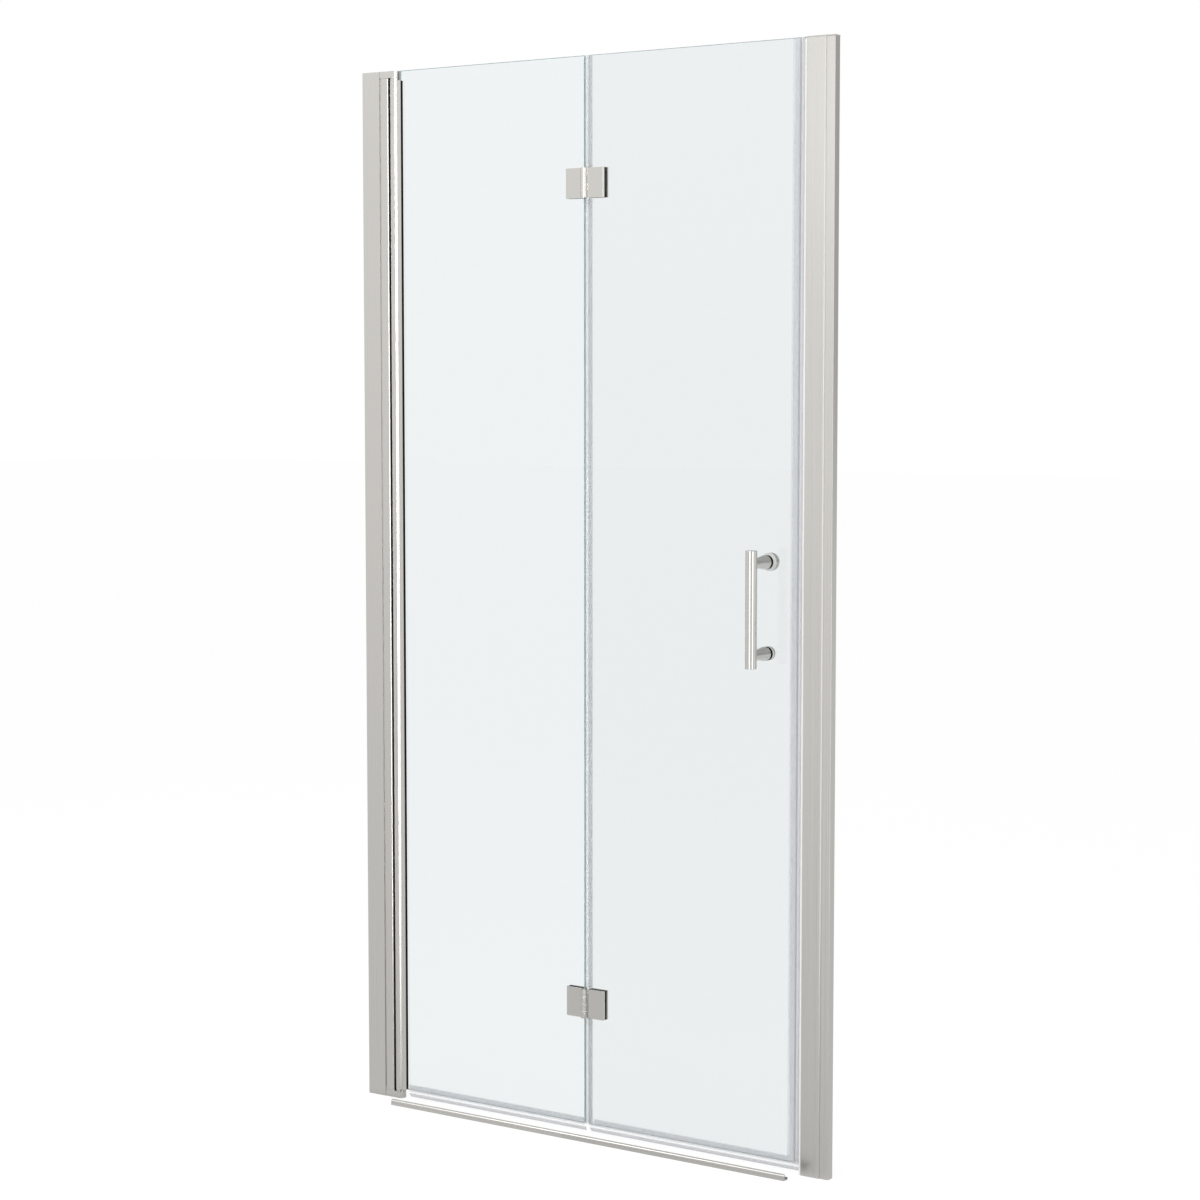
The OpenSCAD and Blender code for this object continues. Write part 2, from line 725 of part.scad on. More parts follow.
module hinge_leaf(own_knuckles) {
  difference() {
    union() {
      upright(-hinge_h / 2, hinge_h / 2) polygon([
        [plate_root, plate_y], [leaf_reach - plate_chamfer, plate_y],
        [leaf_reach, plate_y + plate_chamfer],
        [leaf_reach, plate_y + leaf_t], [plate_root, plate_y + leaf_t]
      ]);
      for (i = own_knuckles) upright(knuckle_z(i), knuckle_z(i) + knuckle_h) {
        circle(knuckle_r);
        plan_box(0, plate_y, plate_root + cut, plate_y + leaf_t);
      }
    }
    upright(-hinge_h, hinge_h) circle(hinge_pin_r + run_gap);
    for (z = [-clamp_screw_spacing / 2, clamp_screw_spacing / 2])
      inward(clamp_screw_x, plate_y + leaf_t - thread_depth, z)
        cylinder(r = clamp_screw_r + screw_gap, h = thread_depth + cut);
  }
}

module hinge_clamp() {
  rear_y = hinge_glass_back + pad_t;
  difference() {
    upright(-hinge_h / 2, hinge_h / 2) plan_box(clamp_root, rear_y, leaf_reach, rear_y + clamp_t);
    for (z = [-clamp_screw_spacing / 2, clamp_screw_spacing / 2]) {
      inward(clamp_screw_x, rear_y - cut, z)
        cylinder(r = clamp_screw_r + screw_gap, h = clamp_t + 2 * cut);
      inward(clamp_screw_x, rear_y + clamp_t - head_cone_h, z)
        cylinder(r1 = clamp_screw_r + screw_gap, r2 = clamp_head_d / 2 + screw_gap, h = head_cone_h);
    }
  }
}

// Front pad, and rear pad with the sleeves that line the glass holes
module hinge_pads() {
  difference() {
    union() {
      upright(-hinge_h / 2, hinge_h / 2) {
        plan_box(plate_root, plate_y + leaf_t, leaf_reach, hinge_glass_front);
        plan_box(clamp_root, hinge_glass_back, leaf_reach, hinge_glass_back + pad_t);
      }
      for (z = [-clamp_screw_spacing / 2, clamp_screw_spacing / 2])
        inward(clamp_screw_x, hinge_glass_front, z) cylinder(r = clamp_sleeve_r, h = glass_t);
    }
    for (z = [-clamp_screw_spacing / 2, clamp_screw_spacing / 2])
      inward(clamp_screw_x, 0, z) cylinder(r = clamp_screw_r + screw_gap, h = profile_d + clamp_t);
  }
}

// Countersunk screws from the clamp plate through the glass into the hinge leaf
module hinge_screws() {
  head_y = hinge_glass_back + pad_t + clamp_t;
  tip_y = plate_y + leaf_t - thread_depth + screw_gap;
  for (z = [-clamp_screw_spacing / 2, clamp_screw_spacing / 2]) {
    inward(clamp_screw_x, tip_y, z) cylinder(r = clamp_screw_r, h = head_y - head_cone_h - tip_y);
    inward(clamp_screw_x, head_y - head_cone_h, z)
      cylinder(r1 = clamp_screw_r, r2 = clamp_head_d / 2, h = head_cone_h);
  }
}

// Puts a hinge part at a height, and on the pivot leaf's side when side is -1
module on_hinge(z, side) {
  translate([pin_x, pin_y, z]) mirror([side < 0 ? 1 : 0, 0, 0]) children();
}

module on_both_hinges(side) {
  for (z = [lower_hinge_z, upper_hinge_z]) on_hinge(z, side) children();
}

pivot_knuckles = [0, 2];
fold_knuckles = [1, 3];

module upper_hinge_pivot_leaf() {
  color(nickel) on_hinge(upper_hinge_z, -1) hinge_leaf(pivot_knuckles);
}

module lower_hinge_pivot_leaf() {
  color(nickel) on_hinge(lower_hinge_z, -1) hinge_leaf(pivot_knuckles);
}

module upper_hinge_pivot_clamp() {
  color(nickel) on_hinge(upper_hinge_z, -1) hinge_clamp();
}

module lower_hinge_pivot_clamp() {
  color(nickel) on_hinge(lower_hinge_z, -1) hinge_clamp();
}

module pivot_hinge_pads() {
  color(black_rubber) on_both_hinges(-1) hinge_pads();
}

module pivot_hinge_screws() {
  color(zinc) on_both_hinges(-1) hinge_screws();
}

module hinge_pins() {
  pin_inset = 0.5;
  pin_l = hinge_h - 2 * pin_inset;
  color(zinc) on_both_hinges(1) translate([0, 0, -pin_l / 2]) cylinder(r = hinge_pin_r, h = pin_l);
}

module hinge_washers() {
  washer_r = knuckle_r - 0.4;
  color(white_nylon) on_both_hinges(1) for (i = [1:knuckle_count - 1])
    translate([0, 0, knuckle_z(i) - washer_t]) ring(washer_r, hinge_pin_r + run_gap, washer_t);
}

// ---- fold leaf ----

module fold_glass() {
  color(clear_glass) difference() {
    pane(glass_b_start, glass_b_end);
    hinge_glass_holes(1);
    for (z = [lower_fixing_z, upper_fixing_z]) glass_hole(handle_x, z, handle_hole_r);
  }
}

// The legs stop at the upright seals, and the tube runs on under the magnetic seal
module fold_bottom_seal() {
  color(clear_pvc) {
    lengthwise(glass_b_start, seal_face) drip_section();
    lengthwise(glass_b_start + centre_leg_w, glass_b_end - strike_leg_w) bottom_leg_section();
  }
}

// Clear seal with a round bulb against the pivot leaf's edge, in three lengths between the hinges
module centre_seal() {
  web_x = glass_b_start - seal_wall;
  bulb_r = (leaf_gap - seal_wall - bulb_gap + melt) / 2;
  bulb_x = web_x + melt - bulb_r;
  spans = [
    [glass_lift, lower_hinge_z - seal_break],
    [lower_hinge_z + seal_break, upper_hinge_z - seal_break],
    [upper_hinge_z + seal_break, glass_top]
  ];
  color(clear_pvc) for (span = spans) upright(span[0], span[1]) {
    plan_box(web_x, glass_front - seal_wall, glass_b_start, glass_back + seal_wall);
    plan_box(glass_b_start, glass_front - seal_wall, glass_b_start + centre_leg_w, glass_front);
    plan_box(glass_b_start, glass_back, glass_b_start + centre_inner_leg_w, glass_back + seal_wall);
    difference() {
      translate([bulb_x, mid_y]) circle(bulb_r);
      translate([bulb_x, mid_y]) circle(bulb_r - seal_wall);
    }
  }
}

cavity_half = nose_w / 2 - seal_wall;

// Clear seal with a hollow nose for the magnet
module strike_seal() {
  color(clear_pvc) upright(glass_lift, glass_top) {
    for (y = [glass_front - seal_wall, glass_back])
      plan_box(glass_b_end - strike_leg_w, y, glass_b_end + seal_wall, y + seal_wall);
    difference() {
      plan_box(glass_b_end, mid_y - nose_w / 2, seal_face, mid_y + nose_w / 2);
      plan_box(glass_b_end + seal_wall, mid_y - cavity_half, seal_face - seal_wall, mid_y + cavity_half);
    }
  }
}

module strike_seal_magnet() {
  color(white_nylon) upright(glass_lift, glass_top)
    plan_box(seal_face - seal_wall - nose_magnet_t, mid_y - cavity_half + seat,
             seal_face - seal_wall, mid_y + cavity_half - seat);
}

module upper_hinge_fold_leaf() {
  color(nickel) on_hinge(upper_hinge_z, 1) hinge_leaf(fold_knuckles);
}

module lower_hinge_fold_leaf() {
  color(nickel) on_hinge(lower_hinge_z, 1) hinge_leaf(fold_knuckles);
}

module upper_hinge_fold_clamp() {
  color(nickel) on_hinge(upper_hinge_z, 1) hinge_clamp();
}

module lower_hinge_fold_clamp() {
  color(nickel) on_hinge(lower_hinge_z, 1) hinge_clamp();
}

module fold_hinge_pads() {
  color(black_rubber) on_both_hinges(1) hinge_pads();
}

module fold_hinge_screws() {
  color(zinc) on_both_hinges(1) hinge_screws();
}

// ---- handle ----

// Round bar with chamfered ends and a blind hole for each stud
module handle_bar() {
  r = bar_d / 2;
  chamfer = 0.8;
  half = bar_l / 2;
  color(nickel) difference() {
    translate([handle_x, bar_y, handle_z]) rotate_extrude() polygon([
      [0, -half], [r - chamfer, -half], [r, -half + chamfer],
      [r, half - chamfer], [r - chamfer, half], [0, half]
    ]);
    for (z = [lower_fixing_z, upper_fixing_z])
      inward(handle_x, bar_y + bar_d / 2 - bar_bore_depth, z) cylinder(r = stud_bore_r, h = bar_d);
  }
}

// Post between bar and glass: a straight neck, a flare and a short cylindrical foot
module handle_post(z) {
  length = foot_y - bar_y;
  rim = 0.6;
  difference() {
    inward(handle_x, bar_y, z) rotate_extrude() polygon([
      [stud_bore_r, 0], [neck_d / 2, 0], [neck_d / 2, neck_l], [foot_d / 2, length - foot_l],
      [foot_d / 2, length - rim], [foot_d / 2 - rim, length], [stud_bore_r, length]
    ]);
    translate([handle_x, bar_y, z - foot_d]) cylinder(r = bar_d / 2, h = 2 * foot_d);
  }
}

module upper_handle_post() {
  color(nickel) handle_post(upper_fixing_z);
}

module lower_handle_post() {
  color(nickel) handle_post(lower_fixing_z);
}

module handle_feet() {
  color(black_rubber) for (z = [lower_fixing_z, upper_fixing_z])
    inward(handle_x, foot_y, z) ring(foot_d / 2, stud_bore_r, rubber_foot_t);
}

// Clear rings behind the glass, as wide as the knob and the screw's head
module inner_gaskets() {
  color(clear_pvc) {
    inward(handle_x, glass_back, upper_fixing_z) ring(knob_d / 2 - seat, stud_bore_r, pad_t);
    inward(handle_x, glass_back, lower_fixing_z) ring(cap_head_d / 2 - seat, stud_bore_r, pad_t);
  }
}

module handle_sleeves() {
  color(white_nylon) for (z = [lower_fixing_z, upper_fixing_z])
    inward(handle_x, glass_front, z) ring(handle_sleeve_r, stud_bore_r, glass_t);
}

// Threaded stud that ties bar, post, glass and knob together
module handle_stud() {
  start = bar_y + bar_d / 2 - bar_bore_depth + screw_gap;
  color(zinc) inward(handle_x, start, upper_fixing_z)
    cylinder(r = stud_r, h = knob_y + knob_bore_depth - screw_gap - start);
}

module inner_knob() {
  rim = 1.2;
  r = knob_d / 2;
  color(nickel) inward(handle_x, knob_y, upper_fixing_z) difference() {
    rotate_extrude() polygon([
      [0, 0], [r - rim / 2, 0], [r, rim / 2], [r, knob_l - rim], [r - rim, knob_l], [0, knob_l]
    ]);
    translate([0, 0, -cut]) cylinder(r = stud_bore_r, h = knob_bore_depth + cut);
  }
}

// Stud with a flat round head, entered from inside the shower
module inner_cap_screw() {
  start = bar_y + bar_d / 2 - bar_bore_depth + screw_gap;
  rim = 0.8;
  r = cap_head_d / 2;
  color(nickel) {
    inward(handle_x, start, lower_fixing_z) cylinder(r = stud_r, h = knob_y - start);
    inward(handle_x, knob_y, lower_fixing_z) rotate_extrude() polygon([
      [0, 0], [r, 0], [r, cap_head_t - rim], [r - rim, cap_head_t], [0, cap_head_t]
    ]);
  }
}

hinge_wall_channel();
hinge_jamb();
jamb_gasket();
top_pivot_block();
bottom_pivot_block();
top_pivot_bush();
bottom_pivot_bush();
pivot_block_screws();
hinge_side_screws();
hinge_side_covers();
strike_wall_channel();
strike_jamb();
strike_jamb_cap();
strike_strip();
strike_strip_magnet();
strike_side_screws();
strike_side_covers();
water_bar();
pivot_post();
post_top_cap();
post_bottom_cap();
glazing_gasket();
pivot_glass();
pivot_bottom_seal();
upper_hinge_pivot_leaf();
lower_hinge_pivot_leaf();
upper_hinge_pivot_clamp();
lower_hinge_pivot_clamp();
pivot_hinge_pads();
pivot_hinge_screws();
hinge_pins();
hinge_washers();
fold_glass();
fold_bottom_seal();
centre_seal();
strike_seal();
strike_seal_magnet();
upper_hinge_fold_leaf();
lower_hinge_fold_leaf();
upper_hinge_fold_clamp();
lower_hinge_fold_clamp();
fold_hinge_pads();
fold_hinge_screws();
handle_bar();
upper_handle_post();
lower_handle_post();
handle_feet();
inner_gaskets();
handle_sleeves();
handle_stud();
inner_knob();
inner_cap_screw();
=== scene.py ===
# %% [markdown]
# # A bifold shower door, dressed for its picture
#
# The construction is a fixed frame: every piece has its true size and place already, in metres, and it
# moves with one of three bodies. The wall profiles are `frame`, the leaf beside the post is `pivot_leaf`,
# and the leaf with the handle is `fold_leaf`. This lesson gives each visible piece its rounded edges and
# its finish, and never moves or resizes anything.

import json
import math

import bmesh
import bpy
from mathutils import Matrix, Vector

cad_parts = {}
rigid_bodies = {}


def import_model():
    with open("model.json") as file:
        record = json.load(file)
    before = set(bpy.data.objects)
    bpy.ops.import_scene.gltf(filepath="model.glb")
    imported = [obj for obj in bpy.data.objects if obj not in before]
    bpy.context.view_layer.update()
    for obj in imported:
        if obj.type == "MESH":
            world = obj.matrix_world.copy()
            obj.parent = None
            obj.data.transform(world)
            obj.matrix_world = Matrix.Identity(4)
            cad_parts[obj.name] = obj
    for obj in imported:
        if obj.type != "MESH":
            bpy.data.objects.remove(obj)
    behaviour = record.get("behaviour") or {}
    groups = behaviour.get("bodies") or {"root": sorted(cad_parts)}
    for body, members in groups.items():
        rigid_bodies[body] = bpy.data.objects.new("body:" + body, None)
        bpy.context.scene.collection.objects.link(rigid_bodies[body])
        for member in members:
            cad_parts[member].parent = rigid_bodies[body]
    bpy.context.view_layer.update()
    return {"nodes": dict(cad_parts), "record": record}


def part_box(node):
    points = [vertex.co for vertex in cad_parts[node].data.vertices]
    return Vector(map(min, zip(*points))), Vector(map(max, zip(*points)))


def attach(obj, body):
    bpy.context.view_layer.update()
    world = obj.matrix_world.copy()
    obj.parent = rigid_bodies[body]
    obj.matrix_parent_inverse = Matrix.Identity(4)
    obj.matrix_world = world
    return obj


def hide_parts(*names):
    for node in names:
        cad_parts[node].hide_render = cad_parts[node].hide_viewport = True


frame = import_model()
print("nodes in the frame:", len(frame["nodes"]))

# %% [markdown]
# The record says which body carries each node, and which finish slot it takes. Both lists are read from it,
# so that nothing here can disagree with the construction.

# %% Who carries what
bodies = frame["record"]["behaviour"]["bodies"]
BODY = {name: body for body, names in bodies.items() for name in names}
SLOT = {part["node"]: part["material_slot"] for part in frame["record"]["subparts"]}
print("pieces on each body:", {body: len(names) for body, names in bodies.items()})

# %% [markdown]
# ## The camera
#
# The door is seen from outside the shower and from its right, a little above its middle. A long lens keeps
# the upright lines nearly parallel. The camera stands where the door's four outer corners fall on the
# corners in the photograph. It looks down a little, and it has no shift and no blur.

# %% Camera
CAMERA_PLACE = (2.6232, -3.7227, 1.2878)
TURNED_LEFT = math.radians(34.739)
TILTED_DOWN = math.radians(4.604)
LENS, FILM_WIDTH = 81.3, 36

camera_data = bpy.data.cameras.new("camera")
camera_data.lens = LENS
camera_data.sensor_width = FILM_WIDTH
camera = bpy.data.objects.new("camera", camera_data)
bpy.context.collection.objects.link(camera)
camera.location = CAMERA_PLACE
camera.rotation_euler = (math.pi / 2 - TILTED_DOWN, 0, TURNED_LEFT)
bpy.context.scene.camera = camera
print("camera at", CAMERA_PLACE)

# %% [markdown]
# ## Small tools for shader nodes
#
# A finish is a handful of nodes around one Principled shader. These helpers add a node, set its sockets by
# name or link them, so that each finish below reads as a short recipe.

# %% Node helpers
def feed(node, **values):
    """Sets a node's inputs by name, or links them where the value is an output socket."""
    for name, value in values.items():
        socket = node.inputs[name.replace("_", " ")]
        if isinstance(value, bpy.types.NodeSocket):
            node.id_data.links.new(value, socket)
        else:
            socket.default_value = value
    return node


def add_node(tree, kind, **values):
    """Adds a node and feeds its inputs."""
    return feed(tree.nodes.new(kind), **values)


def maths(tree, operation, first, second=None):
    """A Math node on one or two sockets or numbers; returns its output."""
    node = tree.nodes.new("ShaderNodeMath")
    node.operation = operation
    for socket, value in zip(node.inputs, (first, second)):
        if isinstance(value, bpy.types.NodeSocket):
            tree.links.new(value, socket)
        elif value is not None:
            socket.default_value = value
    return node.outputs["Value"]


def between(tree, value, low, high, start=0.3, end=0.7):
    """Maps a value that runs from start to end onto low to high."""
    return add_node(tree, "ShaderNodeMapRange", Value=value, From_Min=start, From_Max=end,
                    To_Min=low, To_Max=high).outputs["Result"]


def coordinate(tree, kind):
    """A texture coordinate, and its X, Y and Z as sockets by name."""
    whole = tree.nodes.new("ShaderNodeTexCoord").outputs[kind]
    return whole, add_node(tree, "ShaderNodeSeparateXYZ", Vector=whole).outputs


def rays(tree):
    """What the ray is, by name, and whether it comes from the camera, directly or through glass."""
    kinds = tree.nodes.new("ShaderNodeLightPath").outputs
    return kinds, maths(tree, "MAXIMUM", kinds["Is Camera Ray"], kinds["Is Transmission Ray"])


def mixed_shader(tree, share, first, second):
    """Two shader nodes mixed: at a share of 1 only the second is left."""
    mix = add_node(tree, "ShaderNodeMixShader", Fac=share)
    tree.links.new(first.outputs[0], mix.inputs[1])
    tree.links.new(second.outputs[0], mix.inputs[2])
    return mix


def new_material(name):
    """An empty material with a Principled shader, ready for its recipe."""
    material = bpy.data.materials.new(name)
    material.use_nodes = True
    tree = material.node_tree
    tree.nodes.clear()
    shader = tree.nodes.new("ShaderNodeBsdfPrincipled")
    output = add_node(tree, "ShaderNodeOutputMaterial", Surface=shader.outputs["BSDF"])
    return material, tree, shader, output


def adjust(material, **values):
    """Feeds the Principled shader of a finished material."""
    feed(material.node_tree.nodes["Principled BSDF"], **values)


def grain(tree, stretch, detail=4.0):
    """Noise on the piece's own coordinates, finer along an axis the larger its number is."""
    where = tree.nodes.new("ShaderNodeTexCoord")
    mapping = add_node(tree, "ShaderNodeMapping", Vector=where.outputs["Object"], Scale=stretch)
    return add_node(tree, "ShaderNodeTexNoise", Vector=mapping.outputs["Vector"], Scale=1.0,
                    Detail=detail).outputs["Fac"]


def bumpy(tree, height, strength, distance):
    """The normal of a surface with a fine relief."""
    return add_node(tree, "ShaderNodeBump", Height=height, Strength=strength,
                    Distance=distance).outputs["Normal"]


# %% [markdown]
# ## Brushed nickel
#
# All the metal has one warm, pale grey finish. Profiles are brushed along their length, and small turned
# parts are satin all round. The pull, the hinge leaves and the collars have a finer shine, and their rims
# are held darker. A metal shows its surroundings, so its colour is one number, while a noise, stretched
# along the brushing, varies its roughness and leaves very fine scratches in its shine.

# %% Metals
NICKEL = (0.60, 0.588, 0.560, 1)
STEEL = (0.52, 0.52, 0.51, 1)
DARK_RIM = (0.75, 0.75, 0.75, 1)
UPRIGHT, FINE_UPRIGHT = (900, 900, 0.5), (2500, 2500, 4)
LEVEL, ALL_ROUND = (0.5, 900, 900), (1500, 1500, 1500)
SCRATCH_DEPTH = 0.0002


def brushed(name, colour, stretch, roughness, scratch=0.04, uneven=0.05):
    """A brushed metal whose scratches run along the axis with the small number."""
    material, tree, shader, _ = new_material(name)
    noise = grain(tree, stretch)
    feed(shader, Base_Color=colour, Metallic=1.0, Normal=bumpy(tree, noise, scratch, SCRATCH_DEPTH),
         Roughness=between(tree, noise, roughness - uneven, roughness + uneven))
    return material


nickel_profile = brushed("nickel_profile", NICKEL, UPRIGHT, 0.30)
nickel_bar = brushed("nickel_bar", NICKEL, FINE_UPRIGHT, 0.14, scratch=0.001, uneven=0.01)
adjust(nickel_bar, Specular_Tint=DARK_RIM)
nickel_level = brushed("nickel_level", NICKEL, LEVEL, 0.28)
nickel_turned = brushed("nickel_turned", NICKEL, ALL_ROUND, 0.26)
steel = brushed("plain_steel", STEEL, ALL_ROUND, 0.35)
print("metals:", [m.name for m in (nickel_profile, nickel_bar, nickel_level, nickel_turned, steel)])

# %% [markdown]
# ## Glass
#
# Tempered glass is clear with a slight blue-green cast, and its cut edges look greener, because light runs
# the long way through them and because they are ground matt. The top edge is painted darkest, as painted
# shade. The pane's broad faces point along Y, so the surface's own direction chooses the tint, the clearness
# and the roughness. The folding pane is painted a shade darker, and its edges paler, as painted shade and
# painted light. Lamps pass the glass through a Transparent shader, or the pane would throw a black shadow.

# %% Glass
GLASS_FACE = (0.86, 0.89, 0.895, 1)
GLASS_EDGE = (0.44, 0.60, 0.59, 1)
FOLD_FACE_PAINTED_SHADE = (0.827, 0.858, 0.863, 1)
FOLD_EDGE_PAINTED_LIGHT = (0.86, 0.90, 0.90, 1)
GLASS_TOP_PAINTED_SHADE = (0.16, 0.27, 0.29, 1)
EDGE_CLEAR, EDGE_ROUGH = 0.35, 0.4
EDGE_TO_FACE = (0.9, 0.97)
GLASS_IOR = 1.5


def glazing(name, face, edge):
    """Clear glass with greener edges, which lets the lamps' light through."""
    material, tree, shader, output = new_material(name)
    _, facing = coordinate(tree, "Normal")
    flatness = maths(tree, "ABSOLUTE", facing["Y"])
    ramp = add_node(tree, "ShaderNodeValToRGB", Fac=flatness)
    for stop, position, colour in zip(ramp.color_ramp.elements, EDGE_TO_FACE, (edge, face)):
        stop.position = position
        stop.color = colour
    tint = tree.nodes.new("ShaderNodeMix")
    tint.data_type = "RGBA"
    feed(tint, Factor=maths(tree, "ABSOLUTE", facing["Z"]))
    side_tint, top_painted_shade = [socket for socket in tint.inputs if socket.type == "RGBA"]
    tree.links.new(ramp.outputs["Color"], side_tint)
    # Painted shade: the upward-facing top edge is tinted darker than the side edges.
    top_painted_shade.default_value = GLASS_TOP_PAINTED_SHADE
    feed(shader, Base_Color=[socket for socket in tint.outputs if socket.type == "RGBA"][0], IOR=GLASS_IOR,
         Transmission_Weight=between(tree, flatness, EDGE_CLEAR, 1.0, *EDGE_TO_FACE),
         Roughness=between(tree, flatness, EDGE_ROUGH, 0.0, *EDGE_TO_FACE))
    kinds, _ = rays(tree)
    through = add_node(tree, "ShaderNodeBsdfTransparent", Color=face)
    feed(output, Surface=mixed_shader(tree, kinds["Is Shadow Ray"], shader, through).outputs["Shader"])
    return material


glass = glazing("clear_glass", GLASS_FACE, GLASS_EDGE)
# Painted shade and painted light: the folding pane's faces are tinted darker, and its edges paler, than the
# other pane's.
fold_glass = glazing("folding_pane_glass_painted_shade", FOLD_FACE_PAINTED_SHADE, FOLD_EDGE_PAINTED_LIGHT)
print("glass:", glass.name, fold_glass.name)

# %% [markdown]
# ## Plastics and rubber
#
# The seals are soft clear PVC, which is never quite clear: it has a milky veil and a soft shine. A partly
# transparent white plastic looks like it, and the veil is thicker where two walls lie behind each other; on
# the bottom seals it is also thicker on the tube's lower edge, as painted shade.
# The clear rings behind the glass glow a little with painted light, in place of the light that the handle's
# feet shade from them, so that they come out nearly white. Gaskets are matt black rubber, magnets and bushes
# are white, and the snap covers satin grey.

# %% Plastics and rubber
PVC_IOR = 1.45
CLOUDS_UPRIGHT, CLOUDS_LEVEL, FINE_GRAIN = (30, 30, 0.5), (0.5, 30, 30), (700, 700, 700)
GRAIN_DEPTH = 0.0001
BAND_TOP = 0.05
# Veils by height on the bottom seals: thick low down, partly for the lip's wall and partly as painted shade
# of the tube's lower edge, and nearly clear across the tube's middle.
DRIP_VEILS_AND_PAINTED_SHADE = ((0.0, 0.48), (0.0090, 0.45), (0.0102, 0.03), (0.0128, 0.03), (0.0140, 0.14), (0.0166, 0.14),
              (0.0176, 0.21))


def milky(name, colour, roughness, stretch):
    """See-through plastic that still lacks its veil."""
    material, tree, shader, _ = new_material(name)
    noise = grain(tree, stretch)
    feed(shader, Base_Color=colour, IOR=PVC_IOR,
         Roughness=between(tree, noise, roughness - 0.01, roughness + 0.02))
    return material, tree, shader, noise


def veiled(name, colour, veil, roughness):
    """Milky plastic: veil is the share of each surface that isn't see-through."""
    material, tree, shader, noise = milky(name, colour, roughness, CLOUDS_UPRIGHT)
    feed(shader, Alpha=between(tree, noise, veil - 0.01, veil + 0.01))
    return material


def banded(name, colour, heights_and_veils, roughness):
    """Milky plastic whose veil follows the height above the floor."""
    material, tree, shader, _ = milky(name, colour, roughness, CLOUDS_LEVEL)
    _, place = coordinate(tree, "Object")
    ramp = add_node(tree, "ShaderNodeValToRGB", Fac=maths(tree, "DIVIDE", place["Z"], BAND_TOP))
    stops = ramp.color_ramp.elements
    while len(stops) < len(heights_and_veils):
        stops.new(0.5)
    for stop, (height, veil) in zip(stops, heights_and_veils):
        stop.position = height / BAND_TOP
        stop.color = (veil, veil, veil, 1)
    feed(shader, Alpha=ramp.outputs["Color"])
    return material


def moulded(name, colour, roughness, depth):
    """A moulded plastic or rubber with a fine, even texture."""
    material, tree, shader, _ = new_material(name)
    noise = grain(tree, FINE_GRAIN, detail=3.0)
    feed(shader, Base_Color=colour, Normal=bumpy(tree, noise, depth, GRAIN_DEPTH),
         Roughness=between(tree, noise, roughness - 0.06, roughness + 0.06))
    return material


clear_pvc = veiled("clear_pvc", (0.62, 0.63, 0.66, 1), 0.22, 0.16)
leg_pvc = veiled("leg_pvc", (0.58, 0.60, 0.62, 1), 0.30, 0.16)
soft_pvc = veiled("soft_pvc", (0.62, 0.66, 0.66, 1), 0.22, 0.12)
pale_pvc = veiled("pale_pvc", (0.94, 0.93, 0.92, 1), 0.96, 0.3)
# Painted shade: the bottom seals' veil is banded by height to darken the tube's lower edge.
drip_pvc_veils_and_painted_shade = banded("drip_pvc_veils_and_painted_shade", (0.60, 0.61, 0.64, 1), DRIP_VEILS_AND_PAINTED_SHADE, 0.16)
glowing_pvc_painted_light = veiled("glowing_pvc_painted_light", (0.80, 0.79, 0.77, 1), 0.96, 0.3)
# Painted light: the rear rings glow a little, in place of the light that the handle's feet shade from them.
adjust(glowing_pvc_painted_light, Emission_Color=(0.25, 0.25, 0.245, 1), Emission_Strength=1.0)
rubber = moulded("black_rubber", (0.006, 0.006, 0.005, 1), 0.6, 0.3)
adjust(rubber, Specular_IOR_Level=0.05)
magnet = moulded("white_magnet", (0.80, 0.80, 0.79, 1), 0.5, 0.1)
nylon = moulded("white_nylon", (0.78, 0.78, 0.75, 1), 0.45, 0.1)
grey_plastic = moulded("grey_plastic", (0.50, 0.49, 0.46, 1), 0.4, 0.1)
plastics = (clear_pvc, leg_pvc, soft_pvc, pale_pvc, drip_pvc_veils_and_painted_shade, glowing_pvc_painted_light, rubber, magnet, nylon, grey_plastic)
print("plastics:", [m.name for m in plastics])

# %% [markdown]
# ## A finish for each node of the frame
#
# The record says which slot each node takes its finish from. A node keeps its mesh and gets its material
# here. The pieces that are modelled later replace the nodes that need round edges.

# %% Finishes by slot
FINISH = {
    "profile": nickel_profile,
    "nickel": nickel_turned,
    "clear_glass": glass,
    "clear_pvc": clear_pvc,
    "black_rubber": rubber,
    "magnet": magnet,
    "white_nylon": nylon,
    "grey_plastic": grey_plastic,
    "steel": steel,
}
SPECIAL = {"strike_strip": pale_pvc, "fold_glass": fold_glass}
for name, node in frame["nodes"].items():
    node.data.materials.clear()
    node.data.materials.append(SPECIAL.get(name, FINISH[SLOT[name]]))
print("nodes with a finish:", len(SLOT))

# %% [markdown]
# ## The studio
#
# The photograph has a plain white ground. The floor is a pale matt sheet that keeps the door's shadow. For
# the camera, and for what is seen through glass, light of its own lifts it to white. What shines sees a glow
# of its own on it, with painted shade: darker near the door and paler far away, and a little darker ahead
# than to the left.

# %% Floor
FLOOR_SIZE = 60.0
FLOOR_GREY = (0.9, 0.9, 0.9, 1)
FLOOR_WHITE, GLOW_SHARE = 1.08, 0.8
FAR_SHINE, NEAR_LOSS, FADE_LENGTH = 1.04, 0.30, 8.0
AHEAD, TO_THE_LEFT, DIMMER, BRIGHTER = 0.45, 0.95, 0.90, 1.02
bpy.ops.object.select_all(action="DESELECT")
bpy.ops.mesh.primitive_plane_add(size=FLOOR_SIZE, location=(0, 0, 0))
floor = bpy.context.object
floor.name = "floor"
floor_material, tree, shader, output = new_material("pale_floor")
feed(shader, Base_Color=FLOOR_GREY, Roughness=1.0, Specular_IOR_Level=0.0)
kinds, seen = rays(tree)
place, axes = coordinate(tree, "Object")
far = add_node(tree, "ShaderNodeVectorMath", Vector=place)
far.operation = "LENGTH"
